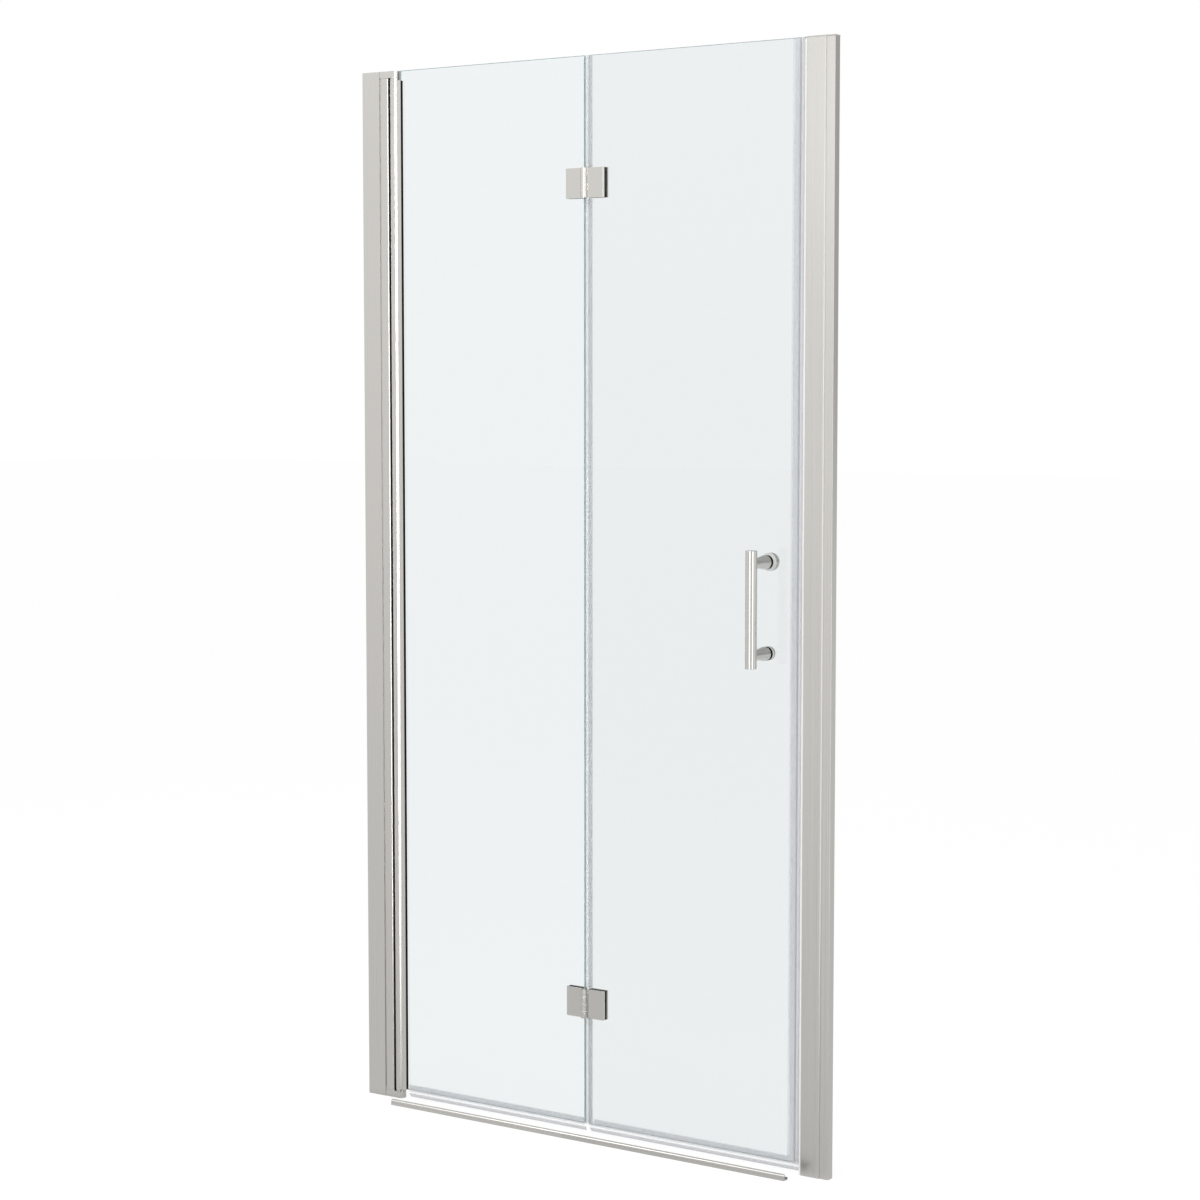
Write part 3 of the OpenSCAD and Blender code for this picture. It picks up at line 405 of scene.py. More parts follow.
# Painted shade: the floor's glow, as shiny parts see it, falls off towards the door and is dimmer ahead.
fade = maths(tree, "EXPONENT", maths(tree, "DIVIDE", far.outputs["Value"], -FADE_LENGTH))
painted_floor_shine = maths(tree, "SUBTRACT", FAR_SHINE, maths(tree, "MULTIPLY", fade, NEAR_LOSS))
aside = maths(tree, "DIVIDE", axes["X"], axes["Y"])
painted_floor_shine = maths(tree, "MULTIPLY", painted_floor_shine, between(tree, aside, DIMMER, BRIGHTER, AHEAD, TO_THE_LEFT))
strength = add_node(tree, "ShaderNodeMix", Factor=seen, A=painted_floor_shine, B=FLOOR_WHITE)
glow = add_node(tree, "ShaderNodeEmission", Strength=strength.outputs["Result"])
glowing = maths(tree, "MAXIMUM", seen, kinds["Is Glossy Ray"])
share = maths(tree, "MULTIPLY", glowing, GLOW_SHARE)
feed(output, Surface=mixed_shader(tree, share, shader, glow).outputs["Shader"])
floor.data.materials.append(floor_material)
print("floor:", FLOOR_SIZE, "m wide")

# %% [markdown]
# The world is an even white for the camera and behind glass. Matt surfaces get a soft, even light from it.
# What shines sees it paler above than at the horizon, and that gives tall metal its slow fall of light. It
# also sees it greyer behind the door than in front, so that faces turned to the side come out darker, and
# grey between the two lamps, which parts the two bright lines on the pull. A ray that metal mirrored before
# it passed the glass sees this shine too, and not the even white.

# %% World
WHITE = (1, 1, 1, 1)
BEHIND_GREY, HORIZON, OVERHEAD = 0.5, 0.97, 1.08
GAP_WAY, GAP_GREY = (0.52, -0.85, 0), 0.32
SOFT_LIGHT = 0.7
world = bpy.data.worlds.new("studio")
bpy.context.scene.world = world
world.use_nodes = True
tree = world.node_tree
tree.nodes.clear()
way, axes = coordinate(tree, "Generated")
behind = between(tree, axes["Y"], 1.0, BEHIND_GREY, start=0.0, end=0.6)
upwards = between(tree, axes["Z"], HORIZON, OVERHEAD, start=0.0, end=0.13)
towards = add_node(tree, "ShaderNodeVectorMath", Vector=way)
towards.operation = "DOT_PRODUCT"
towards.inputs[1].default_value = GAP_WAY
gap = between(tree, towards.outputs["Value"], 1.0, GAP_GREY, start=0.91, end=0.97)
shine = maths(tree, "MULTIPLY", maths(tree, "MULTIPLY", behind, upwards), gap)
shown, white, soft = (add_node(tree, "ShaderNodeBackground", Color=WHITE, Strength=power)
                      for power in (shine, 1.0, SOFT_LIGHT))
kinds, seen = rays(tree)
first_hand = maths(tree, "LESS_THAN", kinds["Glossy Depth"], 0.5)
second_hand = maths(tree, "MULTIPLY", kinds["Is Transmission Ray"], maths(tree, "SUBTRACT", 1.0, first_hand))
glossy = maths(tree, "MAXIMUM", kinds["Is Glossy Ray"], second_hand)
shown_or_soft = mixed_shader(tree, glossy, soft, shown)
all_light = mixed_shader(tree, maths(tree, "MULTIPLY", seen, first_hand), shown_or_soft, white)
add_node(tree, "ShaderNodeOutputWorld", Surface=all_light.outputs["Shader"])
print("world:", world.name)

# %% [markdown]
# Soft lamps stand in front of the door. Round metal shows them as upright bright bands, and flat metal
# hardly shows them at all. None of them stands where the panes would mirror it into the camera. The post
# beam is narrow, to light little besides the post, and the bevel lamp gives chamfers their bright line.

# %% Lamps
def softbox(name, place, look_at, width, height, power, spread=180):
    """A soft rectangular lamp that looks at a point, and isn't itself seen through the panes."""
    data = bpy.data.lights.new(name, "AREA")
    data.shape = "RECTANGLE"
    data.spread = math.radians(spread)
    data.size = width
    data.size_y = height
    data.energy = power
    lamp = bpy.data.objects.new(name, data)
    bpy.context.collection.objects.link(lamp)
    lamp.location = place
    away = Vector(place) - Vector(look_at)
    lamp.rotation_euler = away.to_track_quat("Z", "Y").to_euler()
    lamp.visible_transmission = False


softbox("near_lamp", (0.40, -1.05, 1.06), (0.35, 0, 1.06), 0.32, 2.08, 4.2)
softbox("post_beam", (0.42, -1.07, 1.06), (-0.41, 0, 1.06), 0.36, 2.08, 2.2, spread=62)
softbox("right_lamp", (2.15, -1.0, 1.15), (0, 0, 1.15), 0.62, 2.2, 8.6)
softbox("top_lamp", (0, -0.8, 2.9), (0, 0, 0.2), 1.4, 0.5, 6)
softbox("bevel_lamp", (-2.0, -0.85, 2.9), (0, 0, 0), 1.3, 0.9, 8)
softbox("post_lamp", (-0.57, -2.05, 1.96), (0.46, 0, 1.7), 0.2, 0.5, 0.35)

# %% [markdown]
# The Standard view keeps the white ground white, where a filmic one would grey it.

# %% View transform
bpy.context.scene.view_settings.view_transform = "Standard"

# %% [markdown]
# ## Modelling by hand, in code
#
# Most pieces of a door are one outline that runs along a line, or one outline turned about an axis. The
# helpers do what a hand does: start with one vertex, extrude it from corner to corner, fill the loop, and
# extrude it, or spin it. Then doubles are merged, the faces are pointed outwards, and the piece's place is
# applied, so that its object sits at the origin.

# %% Start, draw and extrude
MM = 0.001
UP, INWARDS, ALONG = (0, 0, 1), (0, 1, 0), (1, 0, 0)
X, Z = 0, 2


def draw(name, points, fill=True):
    """Draws an outline through the points: one vertex is extruded from each point to the next."""
    bpy.ops.object.select_all(action="DESELECT")
    bpy.ops.mesh.primitive_plane_add(size=MM, location=points[0])
    piece = bpy.context.object
    piece.name = name
    bpy.ops.object.mode_set(mode="EDIT")
    bpy.ops.mesh.select_mode(type="VERT")
    bpy.ops.mesh.merge(type="CENTER")
    for before, after in zip(points, points[1:]):
        step = Vector(after) - Vector(before)
        bpy.ops.mesh.extrude_region_move(TRANSFORM_OT_translate={"value": step})
    bpy.ops.mesh.select_all(action="SELECT")
    if fill:
        bpy.ops.mesh.edge_face_add()
    return piece


def settle(piece):
    """Merges doubles, points the faces outwards and applies the piece's place."""
    bpy.ops.mesh.select_all(action="SELECT")
    bpy.ops.mesh.remove_doubles(threshold=MM / 1000)
    bpy.ops.mesh.normals_make_consistent(inside=False)
    bpy.ops.object.mode_set(mode="OBJECT")
    bpy.ops.object.transform_apply(location=True, rotation=True, scale=True)
    return piece


def run(name, points, step):
    """Draws an outline and extrudes it by a step."""
    piece = draw(name, points)
    bpy.ops.mesh.extrude_region_move(TRANSFORM_OT_translate={"value": step})
    return settle(piece)


def stand(name, outline, low, high):
    """An outline in plan that stands from one height to another."""
    return run(name, [(x, y, low) for x, y in outline], (0, 0, high - low))


def turn(name, centre, axis, profile, steps=64):
    """Spins an outline of (distance along the axis, radius) pairs about the axis through centre."""
    centre, axis = Vector(centre), Vector(axis)
    across = Vector(ALONG if abs(axis.z) > 0.5 else UP)
    piece = draw(name, [centre + along * axis + radius * across for along, radius in profile], fill=False)
    bpy.ops.mesh.spin(steps=steps, angle=2 * math.pi, center=centre, axis=axis)
    return settle(piece)


def rod(name, centre, axis, length, radius, steps=32):
    """A plain round bar that runs along the axis from the centre."""
    return turn(name, centre, axis, [(0, 0), (0, radius), (length, radius), (length, 0)], steps)


def flat_ring(name, centre, axis, height, inner, outer, steps):
    """A ring of rectangular section that runs along the axis from the centre."""
    section = [(0, inner), (0, outer), (height, outer), (height, inner), (0, inner)]
    return turn(name, centre, axis, section, steps)


# %% [markdown]
# A second set finishes a piece. Modifiers round and cut it and are applied at once, so that each piece ends
# as a plain mesh. Its finish, its body and the node that it stands for are given in one place.

# %% Finish, cut, join and copy
SHARP = math.radians(38)
SAME_PLACE = 1e-5


def take(piece):
    """Makes a piece the only selected and the active one."""
    bpy.ops.object.select_all(action="DESELECT")
    piece.select_set(True)
    bpy.context.view_layer.objects.active = piece


def apply_modifier(piece, kind, **settings):
    """Adds a modifier to the piece, sets it, and applies it."""
    take(piece)
    bpy.ops.object.modifier_add(type=kind)
    modifier = piece.modifiers[-1]
    for name, value in settings.items():
        setattr(modifier, name, value)
    bpy.ops.object.modifier_apply(modifier=modifier.name)


def combine(piece, other, operation):
    """Cuts a second shape out of the piece, or adds it, and removes the second shape."""
    apply_modifier(piece, "BOOLEAN", object=other, operation=operation, solver="EXACT")
    bpy.data.objects.remove(other, do_unlink=True)
    return piece


def round_edges(piece, along, corners, radius, segments=6):
    """Bevels the long edges that run along an axis through the given corners of the outline."""
    first, second = [axis for axis in range(3) if axis != along]
    take(piece)
    bpy.ops.object.mode_set(mode="EDIT")
    bpy.ops.mesh.select_mode(type="EDGE")
    bpy.ops.mesh.select_all(action="DESELECT")
    mesh = bmesh.from_edit_mesh(piece.data)
    for edge in mesh.edges:
        for u, v in corners:
            if all(abs(vertex.co[first] - u) < SAME_PLACE and abs(vertex.co[second] - v) < SAME_PLACE
                   for vertex in edge.verts):
                edge.select_set(True)
    bmesh.update_edit_mesh(piece.data)
    bpy.ops.mesh.bevel(offset=radius, segments=segments, affect="EDGES")
    bpy.ops.object.mode_set(mode="OBJECT")
    return piece


def smooth(piece):
    """Shades the piece smooth across its curves alone."""
    take(piece)
    bpy.ops.object.shade_smooth_by_angle(angle=SHARP)


def soften(piece, width, segments=3):
    """Rounds every sharp edge a little, and smooths the piece's shading."""
    if width:
        apply_modifier(piece, "BEVEL", width=width, segments=segments, limit_method="ANGLE",
                       angle_limit=SHARP)
    smooth(piece)
    apply_modifier(piece, "WEIGHTED_NORMAL", keep_sharp=True, weight=100)
    return piece


def dress(piece, material, node):
    """Gives the piece its finish, its body and the node that it stands for."""
    piece.data.materials.clear()
    piece.data.materials.append(material)
    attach(piece, BODY[node])
    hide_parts(node)
    print(piece.name, "on", BODY[node], "with", len(piece.data.vertices), "vertices")


def copy_up(piece, name, rise):
    """A copy of the piece with its own mesh, raised inside that mesh."""
    take(piece)
    bpy.ops.object.duplicate(linked=False)
    copied = bpy.context.object
    copied.name = name
    bpy.ops.object.mode_set(mode="EDIT")
    bpy.ops.mesh.select_all(action="SELECT")
    bpy.ops.transform.translate(value=(0, 0, rise))
    bpy.ops.object.mode_set(mode="OBJECT")
    return copied


def join(pieces, name):
    """Joins several pieces into one."""
    take(pieces[0])
    for piece in pieces:
        piece.select_set(True)
    bpy.ops.object.join()
    joined = bpy.context.object
    joined.name = name
    return joined


def rectangle(x0, x1, y0, y1):
    """The four corners of a rectangle, one after the other."""
    return [(x0, y0), (x1, y0), (x1, y1), (x0, y1)]


def arc(centre, radius, start, end, steps):
    """Points of an arc from one angle to another, in degrees."""
    angles = [math.radians(start + (end - start) * i / steps) for i in range(steps + 1)]
    return [(centre[0] + radius * math.cos(a), centre[1] + radius * math.sin(a)) for a in angles]


def sides(node):
    """The lowest and highest x, y and z of a node: x0, x1, y0, y1, z0, z1."""
    low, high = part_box(node)
    return low.x, high.x, low.y, high.y, low.z, high.z

# %% [markdown]
# ## The wall channel on the hinge side
#
# An extruded U profile is screwed to the wall through its web. It is drawn in plan as a U, and run from the
# floor to the door's top. Its two corners at the wall are rounded more than its other edges. The end of its
# outer wall leans back a little: square to the jamb, it would throw a lamp straight back at the camera. The
# wall screw holes are cut from the web.

# %% Hinge-side wall channel
WALL, WEB, END_LEAN = 1.5 * MM, 2 * MM, 0.7 * MM
CHANNEL_CORNER, JAMB_CORNER, FINE_EDGE = 0.6 * MM, 2 * MM, 0.12 * MM
HOLE_R, LOWEST_HOLE, HOLE_PITCH = 2.6 * MM, 150 * MM, 510 * MM
x0, x1, y0, y1, z0, z1 = sides("hinge_wall_channel")
MID_Y = (y0 + y1) / 2
BACK_Y, DOOR_H = y1, z1


def both_halves(outer):
    """The outer half of an outline, and then its mirror image on the inner side of the door's middle."""
    return outer + [(x, 2 * MID_Y - y) for x, y in reversed(outer)]


outline = [(x0, y0), (x1, y0), (x1 - END_LEAN, y0 + WALL), (x0 + WEB, y0 + WALL),
           (x0 + WEB, y1 - WALL), (x1, y1 - WALL), (x1, y1), (x0, y1)]
channel = stand("hinge_channel", outline, z0, z1)
round_edges(channel, Z, [(x0, y0), (x0, y1)], CHANNEL_CORNER, segments=4)
for i in range(4):
    drill = rod("drill", (x0 - MM, MID_Y, LOWEST_HOLE + i * HOLE_PITCH), ALONG, 4 * MM, HOLE_R)
    combine(channel, drill, "DIFFERENCE")
dress(soften(channel, FINE_EDGE), nickel_profile, "hinge_wall_channel")

# %% [markdown]
# ## The jamb on the hinge side
#
# A closed box profile slides in the channel, so that the door fits a wall that isn't quite upright. The slot
# in its end face holds the black strip. Because of that slot, the box can be drawn as one outline that runs
# round outside, turns in at the slot, and comes back inside. Its outer corners have a generous radius: they
# catch the light as the bright line beside the slot.

# %% Hinge-side jamb and its black strip
x0, x1, y0, y1, z0, z1 = sides("hinge_jamb")
SLOT_HALF = 1.3 * MM
outside = both_halves([(x1, MID_Y - SLOT_HALF), (x1, y0), (x0, y0)])
inside = both_halves([(x1 - WALL, MID_Y - SLOT_HALF), (x1 - WALL, y0 + WALL), (x0 + WALL, y0 + WALL)])
jamb = stand("hinge_jamb_profile", outside + inside[::-1], z0, z1)
round_edges(jamb, Z, rectangle(x0, x1, y0, y1), JAMB_CORNER)
dress(soften(jamb, FINE_EDGE), nickel_profile, "hinge_jamb")

JAMB_END = x1
x0, x1, y0, y1, z0, z1 = sides("jamb_gasket")
head, head_y, neck_y = x0 + 1.2 * MM, MID_Y - 2.6 * MM, MID_Y - 1.2 * MM
outline = both_halves([(x0, head_y), (head, head_y), (head, neck_y), (JAMB_END, neck_y), (JAMB_END, y0),
                       (x1, y0)])
strip = stand("jamb_strip", outline, z0, z1)
round_edges(strip, Z, [(x1, y0), (x1, y1)], 0.8 * MM, segments=4)
dress(soften(strip, 0.1 * MM), rubber, "jamb_gasket")

# %% [markdown]
# ## Pivot blocks
#
# A block closes each end of the jamb and reaches under the post, with a round nose that carries the pivot
# bush. In plan it is a rectangle with a round end that is a little wider than the rectangle. Both blocks
# are drawn from this one outline.

# %% Pivot blocks
x0, x1, y0, y1, z0, z1 = sides("bottom_pivot_block")
POST_R = (y1 - y0) / 2
PIVOT_X = x1 - POST_R
BLOCK_H = sides("hinge_jamb")[4]
block_half = POST_R - 0.65 * MM
nose_start = math.degrees(math.asin(block_half / POST_R))
nose = arc((PIVOT_X, MID_Y), POST_R, nose_start - 180, 180 - nose_start, 40)
outline = [(x0, MID_Y - block_half)] + nose + [(x0, MID_Y + block_half)]
for name, low in (("bottom_pivot_block", 0), ("top_pivot_block", DOOR_H - BLOCK_H)):
    block = stand(name + "_body", outline, low, low + BLOCK_H)
    dress(soften(block, 0.1 * MM), nickel_turned, name)

# %% [markdown]
# ## Screws and snap covers
#
# On the shower side, pan-head screws hold the pivot blocks, and snap covers hide the screws that fix the
# jambs. The screw head is a low dome with a cross recess: the dome is spun, and the recess is cut with two
# thin blades. The cover is a shallow cap with a rounded rim, spun once and copied to the other places.

# %% Pivot block screws
HEAD_R = 3.8 * MM
HEAD_DOME = [(0, 0), (0, HEAD_R), (1.1 * MM, HEAD_R), (1.8 * MM, 3.4 * MM), (2.2 * MM, 2.4 * MM),
             (2.4 * MM, 0)]
RECESS_LONG, RECESS_THIN, RECESS_FLOOR = 2.1 * MM, 0.4 * MM, 1.1 * MM


def screw_head(name, x, y, z):
    """A pan head on the shower side of a plate, with a cross recess."""
    head = turn(name, (x, y, z), INWARDS, HEAD_DOME, steps=40)
    for wide, tall in ((RECESS_THIN, RECESS_LONG), (RECESS_LONG, RECESS_THIN)):
        corners = [(a, y + RECESS_FLOOR, b) for a, b in rectangle(x - wide, x + wide, z - tall, z + tall)]
        combine(head, run("blade", corners, (0, 3 * MM, 0)), "DIFFERENCE")
    return soften(head, 0.12 * MM)


x0, x1, y0, y1, z0, z1 = sides("pivot_block_screws")
seat_y = sides("hinge_jamb")[3]
low_screw = screw_head("block_screw_low", (x0 + x1) / 2, seat_y, z0 + HEAD_R)
high_screw = copy_up(low_screw, "block_screw_high", z1 - z0 - 2 * HEAD_R)
dress(join([low_screw, high_screw], "block_screws"), steel, "pivot_block_screws")

# %% Snap covers
def snap_covers(node):
    """Three snap covers, one above the other, where the node has them."""
    x0, x1, y0, y1, z0, z1 = sides(node)
    r, h = (x1 - x0) / 2, y1 - BACK_Y
    cap = [(0, 0), (0, r), (h * 0.72, r - 0.3 * MM), (h * 0.93, r - 1.0 * MM), (h, r - 2.2 * MM), (h, 0)]
    first = turn(node + "_low", ((x0 + x1) / 2, BACK_Y, z0 + r), INWARDS, cap, steps=48)
    soften(first, 0)
    pitch = (z1 - z0 - 2 * r) / 2
    row = [first] + [copy_up(first, f"{node}_{i}", i * pitch) for i in (1, 2)]
    dress(join(row, node + "_row"), grey_plastic, node)


snap_covers("hinge_side_covers")
snap_covers("strike_side_covers")

# %% [markdown]
# ## The strike side
#
# Here the channel is the inner profile, and the jamb slides over it. The channel's web shows on the door's
# right side, as a plain strip. The jamb is a U with a shallow chamber behind its slotted face, and that is
# still one outline: in through the slot, round the chamber, and out again.

# %% Strike-side channel and jamb
x0, x1, y0, y1, z0, z1 = sides("strike_wall_channel")
outline = both_halves([(x1, y0), (x0, y0), (x0, y0 + WALL), (x1 - WEB, y0 + WALL)])
channel = stand("strike_channel", outline, z0, z1)
round_edges(channel, Z, rectangle(x0, x1, y0, y1), CHANNEL_CORNER, segments=4)
dress(soften(channel, FINE_EDGE), nickel_profile, "strike_wall_channel")

x0, x1, y0, y1, z0, z1 = sides("strike_jamb")
chamber = x0 + WALL + 1.3 * MM
inside = both_halves([(x0, MID_Y - SLOT_HALF), (x0 + WALL, MID_Y - SLOT_HALF), (x0 + WALL, y0 + WALL),
                      (chamber, y0 + WALL)])
outside = both_halves([(x0, y0), (x1, y0), (x1, y0 + WALL), (chamber + WALL, y0 + WALL)])
jamb = stand("strike_jamb_profile", inside + outside[::-1], z0, z1)
round_edges(jamb, Z, rectangle(x0, x1, y0, y1), JAMB_CORNER)
dress(soften(jamb, FINE_EDGE), nickel_profile, "strike_jamb")

# %% [markdown]
# A moulded cap closes the top of the strike jamb. Only its edge shows, so it is a plain rounded plate.

# %% Strike-side cap
x0, x1, y0, y1, z0, z1 = sides("strike_jamb_cap")
corners = rectangle(x0, x1, y0, y1)
cap = round_edges(stand("strike_cap", corners, sides("strike_jamb")[5], z1), Z, corners, 1.4 * MM)
dress(soften(cap, 0.3 * MM), grey_plastic, "strike_jamb_cap")

# %% [markdown]
# ## The water bar
#
# A low extruded bar lies on the floor in front of the door and turns water back. Its section is an L with
# a small lip at the rear. Below its top the front wall has a sloping step, which catches the light as a
# thin line.

# %% Water bar
x0, x1, y0, y1, z0, z1 = sides("water_bar")
base, thick, lip_w, lip_h, bevel, bead = (size * MM for size in (1.4, 3, 1.4, 4.3, 1.2, 1.8))
outline = [(y0, z0), (y0, z1 - bead - bevel), (y0 + bevel, z1 - bead), (y0 + bevel, z1), (y0 + thick, z1),
           (y0 + thick, base), (y1 - lip_w, base), (y1 - lip_w, lip_h), (y1, lip_h), (y1, z0)]
bar = run("water_bar_profile", [(x0, y, z) for y, z in outline], (x1 - x0, 0, 0))
round_edges(bar, X, [(y0 + thick, z1)], 0.6 * MM, segments=4)
round_edges(bar, X, [(y1 - lip_w, lip_h), (y1, lip_h)], 0.65 * MM, segments=4)
round_edges(bar, X, [(y0 + thick, base)], 0.8 * MM, segments=4)
dress(soften(bar, 0.1 * MM), nickel_level, "water_bar")

# %% [markdown]
# ## The pivot post
#
# The post is a round bar with two flat lips that hold the glass between them. In plan it is a long arc that
# runs into the lips, and the slot comes back between them. The outer lip reaches a little further over the
# glass than the inner one. At each end a collar closes the bar.

# %% Pivot post and collars
x0, x1, y0, y1, z0, z1 = sides("pivot_post")
GLASS_HALF, GASKET, COLLAR_H = 3 * MM, 0.6 * MM, 3.9 * MM
slot_half = GLASS_HALF + GASKET
lip_half = slot_half + 1.4 * MM
INNER_LIP_END = x1 - 2.4 * MM
slot_floor = sides("glazing_gasket")[0]
mouth = math.degrees(math.asin(lip_half / POST_R))
outline = arc((PIVOT_X, MID_Y), POST_R, mouth, 360 - mouth, 72)
outline += [(x1, MID_Y - lip_half), (x1, MID_Y - slot_half), (slot_floor, MID_Y - slot_half),
            (slot_floor, MID_Y + slot_half), (INNER_LIP_END, MID_Y + slot_half),
            (INNER_LIP_END, MID_Y + lip_half)]
post = stand("pivot_post_bar", outline, z0, z1)
dress(soften(post, 0.15 * MM, segments=2), nickel_profile, "pivot_post")
for name, low in (("post_bottom_cap", z0 - COLLAR_H), ("post_top_cap", z1)):
    collar = rod(name + "_collar", (PIVOT_X, MID_Y, low), UP, COLLAR_H, POST_R, steps=72)
    dress(soften(collar, 0.2 * MM), nickel_bar, name)

# %% [markdown]
# ## The glazing gasket
#
# A black rubber channel holds the glass in the post. Outside, it reaches past the post's lip and rounds down
# onto the glass, which gives the thin black line beside the post. Inside, it ends level with the inner lip.

# %% Glazing gasket
x0, x1, y0, y1, z0, z1 = sides("glazing_gasket")
glass_edge = sides("pivot_glass")[0]
outline = [(x0, y0), (x1, y0), (x1, y0 + GASKET), (glass_edge, y0 + GASKET), (glass_edge, y1 - GASKET),
           (INNER_LIP_END, y1 - GASKET), (INNER_LIP_END, y1), (x0, y1)]
gasket = stand("post_gasket", outline, z0, z1)
round_edges(gasket, Z, [(x1, y0)], 0.4 * MM)
dress(soften(gasket, 0.08 * MM), rubber, "glazing_gasket")

# %% [markdown]
# ## Bottom seals
#
# Under each pane hangs a soft seal: two legs grip the glass, a hollow tube closes the gap, and a lip slopes
# into the shower to lead drips inside. The whole section is one outline, and the tube's bore is cut from
# it, so that the clear plastic has no walls hidden inside it. On the folding pane, the legs stop at the
# upright seals, and two blocks cut them back.

# %% Bottom seal section
GLASS_Y0, GLASS_Y1 = MID_Y - GLASS_HALF, MID_Y + GLASS_HALF
GLASS_Z0 = sides("pivot_glass")[4]
SEAL, TUBE_R = 1 * MM, 3.7 * MM
TUBE_Z = GLASS_Z0 - SEAL - TUBE_R + 0.3 * MM
LIP_Z, LIP_TOP_ANGLE, LIP_UNDER_ANGLE = 3 * MM, -61.5, -92.5


def bottom_seal(name, x_start, x_end, leg_top):
    """A bottom seal along one pane, with its hollow tube."""
    under = GLASS_Z0 - SEAL
    join_angle = math.degrees(math.asin((under - TUBE_Z) / TUBE_R))
    out_y, in_y = GLASS_Y0 - SEAL, GLASS_Y1 + SEAL
    outline = [(out_y, under), (out_y, leg_top), (GLASS_Y0, leg_top), (GLASS_Y0, GLASS_Z0),
               (GLASS_Y1, GLASS_Z0), (GLASS_Y1, leg_top), (in_y, leg_top), (in_y, under)]
    outline += arc((MID_Y, TUBE_Z), TUBE_R, join_angle, LIP_TOP_ANGLE, 20)
    outline += [(MID_Y + TUBE_R + SEAL, LIP_Z), (MID_Y + TUBE_R, LIP_Z)]
    outline += arc((MID_Y, TUBE_Z), TUBE_R, LIP_UNDER_ANGLE, -join_angle - 180, 24)
    seal = run(name, [(x_start, y, z) for y, z in outline], (x_end - x_start, 0, 0))
    bore = rod("bore", (x_start - MM, MID_Y, TUBE_Z), ALONG, x_end - x_start + 2 * MM, TUBE_R - SEAL)
    return combine(seal, bore, "DIFFERENCE")


# %% Bottom seals
x0, x1, y0, y1, z0, z1 = sides("pivot_bottom_seal")
seal = bottom_seal("pivot_pane_bottom_seal", x0, x1, z1)
dress(soften(seal, 0), drip_pvc_veils_and_painted_shade, "pivot_bottom_seal")

x0, x1, y0, y1, z0, z1 = sides("fold_bottom_seal")
seal = bottom_seal("folding_pane_bottom_seal", x0, x1, z1)
GLASS_B_END = sides("fold_glass")[1]
CENTRE_LEG, STRIKE_LEG = 8.4 * MM, 12 * MM
for start, end in ((x0 - MM, x0 + CENTRE_LEG), (GLASS_B_END - STRIKE_LEG, x1 + MM)):
    trim = stand("trim", rectangle(start, end, y0 - MM, y1 + MM), GLASS_Z0, GLASS_Z0 + 20 * MM)
    combine(seal, trim, "DIFFERENCE")
dress(soften(seal, 0), drip_pvc_veils_and_painted_shade, "fold_bottom_seal")

# %% [markdown]
# ## The centre seal
#
# A clear seal with a round, hollow bulb sits on the folding pane's hinged edge and presses on the other
# pane. It stops at the hinges, so it comes in three lengths of one section. The legs are of the harder
# plastic, and the soft bulb is clearer, so the two are drawn side by side.

# %% Centre seal
x0, x1, y0, y1, z0, z1 = sides("centre_seal")
hinge_low, hinge_high = sides("lower_hinge_fold_leaf"), sides("upper_hinge_fold_leaf")
glass_b = sides("fold_glass")[0]
web_x = glass_b - SEAL
bulb_r = 4.4 * MM
bulb_x = x0 + bulb_r
open_angle = math.degrees(math.acos((web_x - 0.02 * MM - bulb_x) / bulb_r))
x_in = glass_b + 3.4 * MM
leg_outline = [(web_x, y0), (x1, y0), (x1, GLASS_Y0), (glass_b, GLASS_Y0), (glass_b, GLASS_Y1),
               (x_in, GLASS_Y1), (x_in, y1), (web_x, y1)]
bulb_outline = arc((bulb_x, MID_Y), bulb_r, open_angle, 360 - open_angle, 36)
legs, bulbs = [], []
for low, high in ((z0, hinge_low[4] - MM), (hinge_low[5] + MM, hinge_high[4] - MM), (hinge_high[5] + MM, z1)):
    leg = stand("centre_leg", leg_outline, low, high)
    legs.append(soften(round_edges(leg, Z, [(x1, y0), (web_x, y0)], 0.3 * MM, segments=3), 0))
    bore = rod("bore", (bulb_x, MID_Y, low - MM), UP, high - low + 2 * MM, bulb_r - SEAL)
    bulbs.append(soften(combine(stand("bulb", bulb_outline, low, high), bore, "DIFFERENCE"), 0))
dress(join(legs, "centre_seal_legs"), leg_pvc, "centre_seal")
dress(join(bulbs, "centre_seal_bulbs"), soft_pvc, "centre_seal")

# %% [markdown]
# ## The magnetic seal
#
# The closing edge carries a clear seal with a square, hollow nose for its magnet. It meets the clear strip
# on the strike jamb.

# %% Strike seal
x0, x1, y0, y1, z0, z1 = sides("strike_seal")
leg_y = GLASS_Y0 - SEAL
outline = both_halves([(x0, leg_y), (GLASS_B_END, leg_y), (GLASS_B_END, y0), (x1, y0)])
outline += [(x0, GLASS_Y1), (GLASS_B_END, GLASS_Y1), (GLASS_B_END, GLASS_Y0), (x0, GLASS_Y0)]
seal = stand("magnetic_seal", outline, z0, z1)
round_edges(seal, Z, [(x1, y0), (x1, y1)], 0.7 * MM, segments=4)
hollow = rectangle(GLASS_B_END + SEAL, x1 - SEAL, y0 + SEAL, y1 - SEAL)
combine(seal, stand("hollow", hollow, z0 - MM, z1 + MM), "DIFFERENCE")
dress(soften(seal, 0), clear_pvc, "strike_seal")

# %% [markdown]
# ## Hinges
#
# Each hinge leaf is a plate in front of the glass, with knuckles that wrap round the pin. A knuckle and its
# neck are drawn together in plan: an arc round the pin that leaves it in line with the plate's back. The
# plate is drawn at full height, its free edge gets a chamfer, and the knuckles are added with a boolean, so
# that plate and knuckles are one casting. One leaf has knuckles 0 and 2, and the other has 1 and 3.

